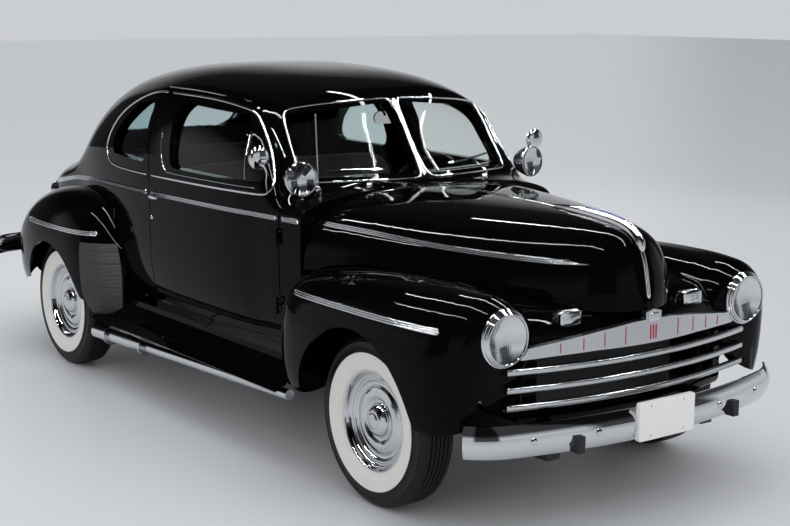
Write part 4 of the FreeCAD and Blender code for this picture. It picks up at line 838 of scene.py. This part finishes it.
class COUPE_OT_side_trim(CarOperator, bpy.types.Operator):
    """Lay the belt mouldings, window reveals, drip rails and fender spears"""
    bl_idname = "coupe.side_trim"
    bl_label = "Side trim"

    def make(self):
        trim = looks().trim
        belt, spear = (ribbed(height, trim.rise) for height in (trim.belt_height, trim.spear_height))
        fixed = Shape()
        for sign in (RIGHT, LEFT):
            way, side, moving = (0, -sign, 0), side_of(sign), Shape()
            door, glass = "door_" + side, "door_glass_" + side
            line = side_line(BELT, sign, 400)
            for shape, node, run in ((fixed, "body_shell", COWL_BELT), (moving, door, DOOR_BELT),
                                     (fixed, "body_shell", REAR_BELT)):
                last = 0.03 if run is REAR_BELT else 0.004
                put_moulding(shape, node, cut_runs(line, *run), way, belt, 0.004, last)
            reveal = side_line(REVEAL, sign, 360, True)
            for shape, node, run in ((moving, door, DOOR_REVEAL), (fixed, "body_shell", QUARTER_REVEAL)):
                section = bead(trim.reveal_width, 0.004)
                put_moulding(shape, node, cut_runs(reveal, *run), way, section, 0.003, 0.003)
            place, out = laid((door, glass), side_line(DOOR_LIP, sign, 80), way, 3)
            moving.grid(carried(place, out, bead(0.004, 0.003), ends(place, 0.02, 0.02)))
            vent = side_line(((0.4005, 0.866), (0.388, 0.79), (0.3763, 0.712)), sign, 24)
            place, out = laid((glass,), vent, way, 2)
            moving.grid(carried(place, out, bead(0.011, 0.006)))
            moving.piece("door_trim_" + side, door)
            drip = side_line(DRIP_RAIL, sign, 90)
            put_moulding(fixed, "body_shell", drip, way, bead(0.007, 0.005), 0.01, 0.01, times=60)
            line = side_line(((0.166, 0.478), (0.03, 0.48), (-0.1, 0.481), (-0.172, 0.481)), sign, 120)
            put_moulding(fixed, "front_fenders", line, way, spear, 0.04, 0.014)
            line = side_line(((0.79, 0.465), (0.9, 0.466), (1.0, 0.466), (1.105, 0.464)), sign, 120)
            put_moulding(fixed, "rear_fenders", cut_runs(line, 0.838, 1.105), way, spear, 0.014, 0.04)
        fixed.piece("side_trim")


class COUPE_OT_hood_trim(CarOperator, bpy.types.Operator):
    """Lay the hood's side mouldings, its centre strip and its ornament"""
    bl_idname = "coupe.hood_trim"
    bl_label = "Hood trim"

    def make(self):
        trim = looks().trim
        strip = ribbed(trim.belt_height * 1.05, trim.rise)
        shape, inlay = Shape(), Shape()
        for sign in (RIGHT, LEFT):
            line = side_line(((0.219, 0.6255), (0.12, 0.62), (0.0, 0.6085), (-0.1, 0.6015), (-0.17, 0.598),
                              (-0.203, 0.596)), sign, 160)
            put_moulding(shape, "hood", line, (0, -sign, 0), strip, 0.004, 0.16, 1.0)
        top = spot([(s, 0, ABOVE) for s in np.linspace(0.214, -0.205, 120)])
        put_moulding(shape, "hood", top, DOWN, bead(0.012, 0.005), 0.01, 0.01, times=10)
        nose = spot([(AHEAD, 0, z) for z in np.linspace(0.655, 0.515, 60)])
        put_moulding(shape, "hood", nose, BACK, bead(0.02, 0.008), 0.02, 0.02, times=10)
        crest = spot([(s, 0, ABOVE) for s in np.linspace(-0.045, -0.23, 90)])
        place, out = laid(("hood",), crest, DOWN, 12)
        size = ends(place, 0.38, 0.05, 1.6)
        shape.grid(carried(place, out, bead(0.042, 0.034, 16), size))
        shape.piece("hood_trim", "hood")
        run = slice(30, 74)
        lifted = place[run] + out[run] * (0.028 * size[run, None])
        inlay.grid(carried(lifted, out[run], bead(0.017, 0.0085, 12), ends(lifted, 0.06, 0.02, 1.5)))
        inlay.piece("hood_inlay", "hood", "blue_insert", "dash_paint")


# The grille's crown bar: shares across, and its lower and its upper edge there
CROWN = ((0.12, 0.3, 0.48, 0.64), (0.418, 0.419, 0.416, 0.411), (0.472, 0.461, 0.447, 0.433))


class COUPE_OT_grille(CarOperator, bpy.types.Operator):
    """Finish the grille bars, the crown bar with its red lines, and the striped crest"""
    bl_idname = "coupe.grille"
    bl_label = "Grille"

    def make(self):
        refined("grille", "satin_chrome")
        lines = Shape()
        for share in (0.155, 0.262, 0.362, 0.466):
            foot, top = (np.interp(share, CROWN[0], row) for row in CROWN[1:])
            levels = np.linspace(foot + 0.004, top - 0.004, 12)
            line = spot([(AHEAD, -share, z) for z in levels])
            put_moulding(lines, "grille", line, BACK, bead(0.0045, 0.0022, 6), 0.004, 0.004, times=3)
        lines.twin()
        for share in (-0.016, 0.0, 0.016):
            line = spot([(AHEAD, share, z) for z in np.linspace(0.4245, 0.462, 10)])
            put_moulding(lines, "grille", line, BACK, bead(0.0085, 0.002, 6), 0.004, 0.004, times=2)
        lines.piece("grille_lines", "root", "accent_red", "red_lens")
        badge = Shape()
        place, _ = landed("grille", (AHEAD, 0, 0.477), BACK)
        outline = rounded_outline(0.06, 0.034, 0.008, 5)
        badge.grid(plate_rows(outline, place - (0.002, 0, 0), (0, 1, 0), UP, 0.0055, 0.003))
        badge.piece("crest_blank")


class COUPE_OT_lamps(CarOperator, bpy.types.Operator):
    """Make the headlamps, parking lamps, spot lamps and tail lamps"""
    bl_idname = "coupe.lamps"
    bl_label = "Lamps"

    def make(self):
        low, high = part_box("headlamps")
        x, z, y = low.x, (low.z + high.z) / 2, high.y - (high.z - low.z) / 2
        centre, axis = (x, -y, z), FORTH
        rings, bowls, lenses = Shape(), Shape(), Shape()
        ring = [(0.09, 0.001), (0.1105, 0.001), (0.1128, 0.004), (0.113, 0.0085), (0.1115, 0.0125),
                (0.1085, 0.015), (0.1062, 0.0156), (0.1056, 0.0185), (0.1045, 0.022), (0.1018, 0.0245),
                (0.0996, 0.0251), (0.099, 0.0275), (0.0972, 0.0305), (0.0945, 0.0318), (0.0918, 0.0306),
                (0.0906, 0.028), (0.09, 0.02)]
        rings.grid(turned(ring, centre, axis, 96), along=True).twin()
        rings.piece("headlamp_rings", replaces=("headlamps",), sharp=50)
        reach = np.linspace(1.0, 0.0, 24)[:, None]
        dish = np.hstack([np.maximum(reach * 0.0898, CORE), 0.003 + 0.021 * reach ** 2])
        bowls.grid(turned(np.vstack([[[0.0898, 0.0008]], dish]), centre, axis, 64)).twin()
        bowls.piece("headlamp_bowls", "root", "mirror_face", "chrome")
        edge = 0.0897
        radius = np.linspace(0.0, 1.0, 26)[:, None] * edge
        angle = np.linspace(0, 2 * math.pi, 128, endpoint=False)[None]
        across, rise = radius * np.cos(angle), radius * np.sin(angle)
        dome = 0.0345 - 0.006 * (radius / edge) ** 2 + 0 * angle
        flutes = np.clip(0.3 - rise / edge, 0, 1) ** 0.5 * np.clip((edge - radius) / 0.012, 0, 1)
        inner = dome - 0.0028 - 0.001 * flutes * np.cos(across * 2 * math.pi / 0.0105)
        front = np.stack([x + dome, across - y, z + rise], -1)
        back = np.stack([x + inner, across - y, z + rise], -1)
        lenses.grid(np.concatenate([back, front[::-1]]), caps=False).twin()
        lenses.piece("headlamp_glasses", "root", "lens_glass", "lamp_glass", ("headlamp_lenses",), 60)
        self.parking()
        self.spots()
        self.tails()

    def parking(self):
        """Bright housings with ribbed lenses, let into the grille panel."""
        low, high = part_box("parking_lamps")
        width, height, y, z = 0.108, high.z - low.z, -(high.y - 0.054), (low.z + high.z) / 2
        shell, lens = Shape(), Shape()
        outline = rounded_outline(width, height, 0.014, 7)
        depth = 0.72 * (high.x - low.x)
        t = np.linspace(0, 1, 16)[:, None, None]
        size = np.concatenate([[[[0.9]], [[0.97]]], np.sqrt(1 - (t * 0.985) ** 2.4)])
        place = np.concatenate([[[[0.0]], [[-0.002]]], -0.005 - t * depth])
        rows = np.broadcast_to(outline, (len(size),) + outline.shape) * size
        forward = high.x - 0.004 + place + 0 * rows[..., :1]
        shell.grid(np.concatenate([forward, y + rows[..., :1], z + rows[..., 1:]], -1))
        for k in range(5):
            back = np.linspace(0.75, 0.03, 12)
            level = z + height / 2 * np.sqrt(1 - (back * 0.985) ** 2.4)
            across = np.full(12, y + (k - 2) * width * 0.15)
            ridge = np.stack([high.x - 0.009 - back * depth, across, level], -1)
            shell.grid(carried(ridge, (0, 0, 1.0), bead(0.009, 0.0022, 8), ends(ridge, 0.02, 0.008)))
        shell.twin().piece("parking_lamp_shells", replaces=("parking_lamps",), sharp=45)
        u = np.linspace(-1, 1, 61)[:, None]
        v = np.linspace(-1, 1, 13)[None]
        bow = (1 - u ** 4) * (1 - v ** 4)
        forward = high.x - 0.0045 + bow * (0.0035 + 0.001 * np.cos(u * 40))
        front = np.stack([forward, y + u * width * 0.42 + 0 * v, z + v * height * 0.33 + 0 * u], -1)
        back = front * (0, 1, 1) + np.array([high.x - 0.0055, 0, 0])
        lens.grid(front, around=False).grid(back, around=False)
        lens.twin().piece("parking_lamp_lenses", "root", "lens_glass", "lamp_glass")

    def spots(self):
        """Bullet-shaped spot lamps with ribs round their backs, a bright ring and a clear lens."""
        size = 0.076
        centre = point_at(0.2535, -0.715, 0.73)
        axis = (1, -0.12, 0.03)
        back = spline([(0.0001, -1.3), (0.3, -1.2), (0.62, -0.9), (0.86, -0.45), (0.955, -0.07)], 60)
        wave = 0.012 * np.sin(np.linspace(0, 2 * math.pi * 7, 60)) * np.linspace(0, 1, 60) ** 0.5
        back[:, 0] += wave * np.sin(np.linspace(0, math.pi, 60)) ** 0.5
        ring = [(0.985, -0.055), (1.0, -0.02), (1.0, 0.12), (0.985, 0.165), (0.955, 0.185), (0.925, 0.178),
                (0.915, 0.14), (0.9, 0.06), (0.6, -0.12), (0.2, -0.2), (0.0001, -0.2)]
        shells, glasses = Shape(), Shape()
        shells.grid(turned(np.vstack([back, ring]) * size, centre, axis, 64))
        arm = spline([centre - np.array((0.5, 0, 0.42)) * size, point_at(0.285, -0.705, 0.702),
                      point_at(0.298, -0.695, 0.7)], 12)
        shells.grid(carried(arm, (0, 0, 1.0), round_section(0.0075, 12)))
        shells.twin().piece("spotlamp_shells", replaces=("spotlamps",), sharp=45)
        face = [(0.0001, 0.3), (0.35, 0.285), (0.65, 0.235), (0.85, 0.17), (0.912, 0.145), (0.912, 0.11),
                (0.0001, 0.22)]
        glasses.grid(turned(np.array(face) * size, centre, axis, 64)).twin()
        glasses.piece("spotlamp_glasses", "root", "lens_glass", "lamp_glass")

    def tails(self):
        """Round red lenses in bright rims on the tail."""
        size = 0.076
        centre = point_at(1.315, -0.5, 0.505)
        axis = (-0.8, -0.6, 0.05)
        rims, lenses = Shape(), Shape()
        rim = [(0.36, -0.5), (0.5, -0.5), (0.5, 0.1), (0.475, 0.16), (0.43, 0.175), (0.4, 0.16),
               (0.385, 0.1)]
        rims.grid(turned(np.array(rim) * size, centre, axis, 48), along=True).twin()
        rims.piece("tail_lamp_rims")
        glow = [(0.39, -0.45), (0.39, 0.14), (0.34, 0.24), (0.24, 0.31), (0.12, 0.35), (0.0001, 0.36)]
        lenses.grid(turned(np.array(glow) * size, centre, axis, 48)).twin()
        lenses.piece("tail_lamp_lenses", "root", "red_lens", "red_lens", ("tail_lamps",))


class COUPE_OT_bumpers(CarOperator, bpy.types.Operator):
    """Add the bumper bolts and the bare white plate"""
    bl_idname = "coupe.bumpers"
    bl_label = "Bumpers"

    def make(self):
        bolts = Shape()
        for y in (-0.66, -0.36, 0.36, 0.66):
            place, out = landed("front_bumper", (AHEAD, y, 0.2475), BACK)
            bolts.grid(dome_rows(place, out, 0.015, 0.008))
        for y in (-0.46, 0.46):
            place, out = landed("rear_bumper", (BEHIND, y, 0.3), FORTH)
            bolts.grid(dome_rows(place, out, 0.015, 0.006))
        bolts.piece("bumper_bolts")
        low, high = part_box("number_plate")
        plate, pins = Shape(), Shape()
        centre = (low.x + 0.0002, 0, (low.z + high.z) / 2)
        outline = rounded_outline(high.y - low.y, high.z - low.z, 0.01, 6)
        depth = high.x - low.x - 0.0014
        plate.grid(plate_rows(outline, centre, (0, 1, 0), UP, depth, 0.0008))
        plate.piece("plate_face", "root", "plate_white", "white_plate", ("number_plate",))
        for y in (-0.09, 0.09):
            for z in (-0.058, 0.058):
                pins.grid(dome_rows(np.array(centre) + (depth, y, z), FORTH, 0.005, 0.0009, 4, 12))
        pins.piece("plate_bolts")


class COUPE_OT_wheels(CarOperator, bpy.types.Operator):
    """Turn the whitewall tyres and the stepped bright wheels"""
    bl_idname = "coupe.wheels"
    bl_label = "Wheels"

    def make(self):
        for end in ("front", "rear"):
            for sign in (RIGHT, LEFT):
                self.wheel(end + "_" + side_of(sign), sign)

    def wheel(self, name, sign):
        """One tyre and its wheel: profiles of (radius, place outwards) turned round the axle."""
        wheel = looks().wheel
        centre, axis = middle("tyre_" + name), (0, sign, 0)
        white = [(0.2034, 0.0675), (0.2065, 0.0715), (wheel.wall_inner, 0.0752), (0.225, 0.0822),
                 (0.245, 0.0868), (0.264, 0.0885), (wheel.wall_outer, 0.088)]
        shoulder = [(wheel.wall_outer + 0.002, 0.0896), (wheel.wall_outer + 0.006, 0.0896),
                    (wheel.wall_outer + 0.009, 0.0868), (0.302, 0.085), (0.318, 0.0815), (0.3205, 0.0828),
                    (0.3235, 0.0826), (0.326, 0.0795), (0.335, 0.0745), (0.342, 0.069), (0.3462, 0.063),
                    (0.3478, 0.0575)]
        tread = []
        for place in (0.04, 0.02, 0.0):
            crown = 0.35 - 0.0022 * (place / 0.06) ** 2
            tread += [(crown, place + 0.0032), (crown - 0.0065, place + 0.0022)]
            tread += [(crown - 0.0065, place - 0.0022), (crown, place - 0.0032)] if place else []
        outer = white + shoulder + tread
        inner = [(r, -a) for r, a in outer[::-1]]
        profile = np.array(outer + inner + [(0.2034, a) for a in (-0.05, 0.0, 0.05)])
        steps = np.zeros(len(profile), int)
        steps[:len(white) - 1] = 1
        tyre = Shape().grid(turned(profile, centre, axis, wheel.segments), along=True, slot=steps)
        tyre.piece("tyre_dress_" + name, "wheel_" + name, ("tyre_rubber", "white_wall"), "tyre_rubber",
                   ("tyre_" + name,), 44)
        lip = [(0.2075, 0.06), (0.2078, 0.069), (0.2062, 0.0722), (0.203, 0.073), (0.1995, 0.0718),
               (0.1965, 0.067), (0.1935, 0.056), (0.189, 0.045), (0.1835, 0.0395), (0.179, 0.0385),
               (0.1765, 0.04), (0.1735, 0.0428), (0.1695, 0.044), (0.1655, 0.0428), (0.163, 0.0395),
               (0.16, 0.0345), (0.154, 0.031), (0.146, 0.0305), (0.141, 0.0325), (0.137, 0.0372),
               (0.133, 0.0405), (0.128, 0.0418), (0.122, 0.044), (0.113, 0.0462), (0.104, 0.0465),
               (0.097, 0.0445), (0.09, 0.0402), (0.084, 0.0358), (0.078, 0.0335), (0.073, 0.0342),
               (0.07, 0.0372), (0.069, 0.041), (0.0678, 0.0455), (0.064, 0.051), (0.059, 0.056),
               (0.052, 0.0618), (0.044, 0.0664), (0.037, 0.069), (0.035, 0.0684), (0.0335, 0.0698),
               (0.025, 0.0728), (0.013, 0.075), (CORE, 0.0757)]
        back = [(CORE, 0.018), (0.03, 0.018), (0.076, 0.026), (0.106, 0.04), (0.13, 0.033),
                (0.146, 0.022), (0.164, 0.015), (0.17, -0.03), (0.19, -0.056), (0.196, -0.069),
                (0.203, -0.0728), (0.2075, -0.069), (0.203, -0.06), (0.202, 0.0), (0.203, 0.056)]
        rim = Shape().grid(turned(np.array(lip + back), centre, axis, wheel.segments), along=True)
        rim.piece("wheel_dress_" + name, "wheel_" + name, "wheel_plating", "wheel_chrome",
                  ("wheel_" + name,), 50)


class COUPE_OT_fittings(CarOperator, bpy.types.Operator):
    """Make the mirrors, the door handles, the locks and the aerial"""
    bl_idname = "coupe.fittings"
    bl_label = "Fittings"

    def make(self):
        for sign in (RIGHT, LEFT):
            self.door(sign)
        aerial = Shape()
        foot, out = landed("body_shell", (0.262, -0.6, ABOVE), DOWN)
        mast = np.linspace(foot + (0, 0, 0.02), foot + (-0.02, 0, 0.335), 12)
        aerial.grid(carried(mast, (1.0, 0, 0), round_section(0.0022, 8)))
        aerial.grid(dome_rows(foot, out, 0.014, 0.03))
        aerial.grid(dome_rows(mast[-1], UP, 0.004, 0.005, 4, 10))
        aerial.piece("aerial")

    def door(self, sign):
        """Handle lying along the belt, key lock, and a round mirror on a curved arm."""
        side, way, shape, glass = side_of(sign), (0, -sign, 0), Shape(), Shape()
        name = "door_" + side
        base, out = landed(name, (0.657, sign * BESIDE, 0.618), way)
        grip = spline([base + out * 0.004, base + out * 0.026 + (0.012, 0, 0.0),
                       base + out * 0.034 + (0.045, 0, 0.001), base + out * 0.03 + (0.105, 0, 0.0)], 40)
        section = round_section(1.0, 14) * (0.0115, 0.0075)
        shape.grid(carried(grip, (0, sign, 0), section, ends(grip, 0.0, 0.045, 1.8)))
        shape.grid(dome_rows(base, out, 0.02, 0.007))
        lock, out = landed(name, (0.662, sign * BESIDE, 0.5536), way)
        shape.grid(dome_rows(lock, out, 0.013, 0.006))
        centre = point_at(0.297, sign * 0.86, 0.783)
        back = [(CORE, 0.016), (0.02, 0.0152), (0.038, 0.0115), (0.049, 0.005), (0.052, 0.0005),
                (0.0515, -0.003), (0.049, -0.004), (0.0475, -0.002), (CORE, -0.002)]
        shape.grid(turned(back, centre + (0.002, 0, 0), FORTH, 48))
        foot = point_at(0.318, sign * 0.765, 0.668)
        arm = spline([centre + (0.008, 0, -0.01), centre + (0.014, -sign * 0.03, -0.06),
                      (centre + foot) / 2 + (0.02, 0, -0.02), foot], 24)
        shape.grid(carried(arm, (1.0, 0, 0.2), round_section(0.0045, 10)))
        shape.grid(dome_rows(foot, (0, sign, 0.3), 0.016, 0.01))
        shape.piece("door_fittings_" + side, name, replaces=("door_hardware_" + side,))
        face = [(CORE, -0.0022), (0.047, -0.0022), (0.047, -0.003), (CORE, -0.0032)]
        glass.grid(turned(face, centre + (0.002, 0, 0), FORTH, 48))
        glass.piece("mirror_glass_" + side, name, "mirror_face", "chrome")


def cushion_rows(rolls, crown=0.1):
    """Closed form of a sewn cushion in a box that reaches 1 from its middle each way.

    Its section is a stretched circle of power 4. Along its width u it swells into rolls, each rising by
    |sin|^0.5, and its ends close by (1 - |u|^10)^0.22.
    """
    u = np.linspace(-1, 1, 97)
    t = np.linspace(0, 2 * math.pi, 72, endpoint=False)
    k = (np.abs(np.cos(t)) ** 4 + np.abs(np.sin(t)) ** 4) ** -0.25
    pull = (1 - np.abs(u) ** 10) ** 0.22
    pull[[0, -1]] = 0.02
    swell = 1 - crown * (1 - np.abs(np.sin(math.pi * rolls * (u + 1) / 2)) ** 0.5)
    a = np.cos(t)[None] * k[None] * pull[:, None]
    b = np.sin(t)[None] * k[None] * (pull * swell)[:, None]
    return np.stack([a, np.broadcast_to(u[:, None], a.shape), b], -1)


class COUPE_OT_cabin(CarOperator, bpy.types.Operator):
    """Pad the benches and fit the dials, the steering wheel and the inside mirror"""
    bl_idname = "coupe.cabin"
    bl_label = "Cabin"

    def make(self):
        for node in ("front_seat", "rear_seat"):
            self.bench(node)
        refined("steering_wheel", "black_plastic")
        low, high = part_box("dashboard")
        dials, rims, mirror = Shape(), Shape(), Shape()
        for y, z, radius in ((0.363, 0.6, 0.062), (0.2, 0.6, 0.04), (-0.25, 0.6, 0.05)):
            place = (low.x + 0.004, y, low.z + (high.z - low.z) * z)
            ring = [(radius, 0.0), (radius, 0.009), (radius - 0.004, 0.012), (radius - 0.009, 0.009),
                    (radius - 0.009, 0.0)]
            face = [(radius - 0.008, 0.0), (radius - 0.008, 0.006), (CORE, 0.006)]
            rims.grid(turned(ring, place, BACK, 48), along=True)
            dials.grid(turned(face, place, BACK, 48))
        rims.piece("dial_rims")
        dials.piece("dial_faces", "root", "dial_face", "dash_paint")
        outline = rounded_outline(0.125, 0.06, 0.029, 8)
        centre = np.array((FRONT_AXLE - 1.112, 0.062, 1.45))
        mirror.grid(plate_rows(outline, centre, (0, -1, 0), (0.1, 0, 1), 0.014, 0.006))
        stem = np.linspace(centre + (0.004, 0, 0.01), (FRONT_AXLE - 1.097, 0.0, 1.56), 8)
        mirror.grid(carried(stem, (1.0, 0, 0), round_section(0.005, 8)))
        mirror.piece("inside_mirror")

    def bench(self, node):
        """A padded cushion and a leaning backrest in the space of the CAD seat, with sewn rolls."""
        low, high = (np.array(v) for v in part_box(node))
        thick, spare, lean = 0.175, 0.003, math.radians(14.0)
        depth, tall = 3.4 * thick, 1.25 * thick
        half = (high[1] - low[1]) / 2 - spare
        shape = Shape()
        cushion = cushion_rows(12) * np.array((depth / 2 - spare, half, thick / 2 - spare))
        shape.grid(cushion + np.array((high[0] - depth / 2, 0, low[2] + thick / 2)))
        back = cushion_rows(12)[..., [2, 1, 0]] * np.array((thick / 2 - spare, half, tall - spare))
        back = back + np.array((-thick / 2, 0, tall))
        cosine, sine = math.cos(lean), math.sin(lean)
        turn = np.array(((cosine, 0, -sine), (0, 1, 0), (sine, 0, cosine)))
        edge = thick / 4
        dip = (thick - edge) * sine + edge * (1 - cosine)
        shape.grid(back @ turn.T + np.array((high[0] - 2.35 * thick, 0, low[2] + thick + dip + spare)))
        made = shape.piece("padded_" + node, "root", "bench_cloth", "seat_cloth", (node,), 80)


OPERATORS = (COUPE_OT_paintwork, COUPE_OT_plain_parts, COUPE_OT_glazing, COUPE_OT_side_trim,
             COUPE_OT_hood_trim, COUPE_OT_grille, COUPE_OT_lamps, COUPE_OT_bumpers, COUPE_OT_wheels,
             COUPE_OT_fittings, COUPE_OT_cabin, COUPE_OT_stage)


class COUPE_PT_panel(bpy.types.Panel):
    """The car's pieces and settings in the sidebar"""
    bl_idname = "COUPE_PT_panel"
    bl_label = "Coupe"
    bl_space_type = "VIEW_3D"
    bl_region_type = "UI"
    bl_category = "Coupe"

    def draw(self, context):
        settings = context.scene.coupe_looks
        for group in (settings.paint, settings.trim, settings.wheel):
            box = self.layout.box()
            for name in group.__annotations__:
                box.prop(group, name)
        for operator in OPERATORS:
            self.layout.operator(operator.bl_idname)


CLASSES = (CoupePaint, CoupeTrim, CoupeWheel, CoupeLooks) + OPERATORS + (COUPE_PT_panel,)


def register():
    for item in CLASSES:
        bpy.utils.register_class(item)
    bpy.types.Scene.coupe_looks = bpy.props.PointerProperty(type=CoupeLooks)


def unregister():
    del bpy.types.Scene.coupe_looks
    for item in reversed(CLASSES):
        bpy.utils.unregister_class(item)


def main():
    """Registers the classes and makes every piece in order."""
    register()
    make_finishes()
    for operator in OPERATORS:
        group, name = operator.bl_idname.split(".")
        getattr(getattr(bpy.ops, group), name)()


if __name__ == "__main__":
    main()
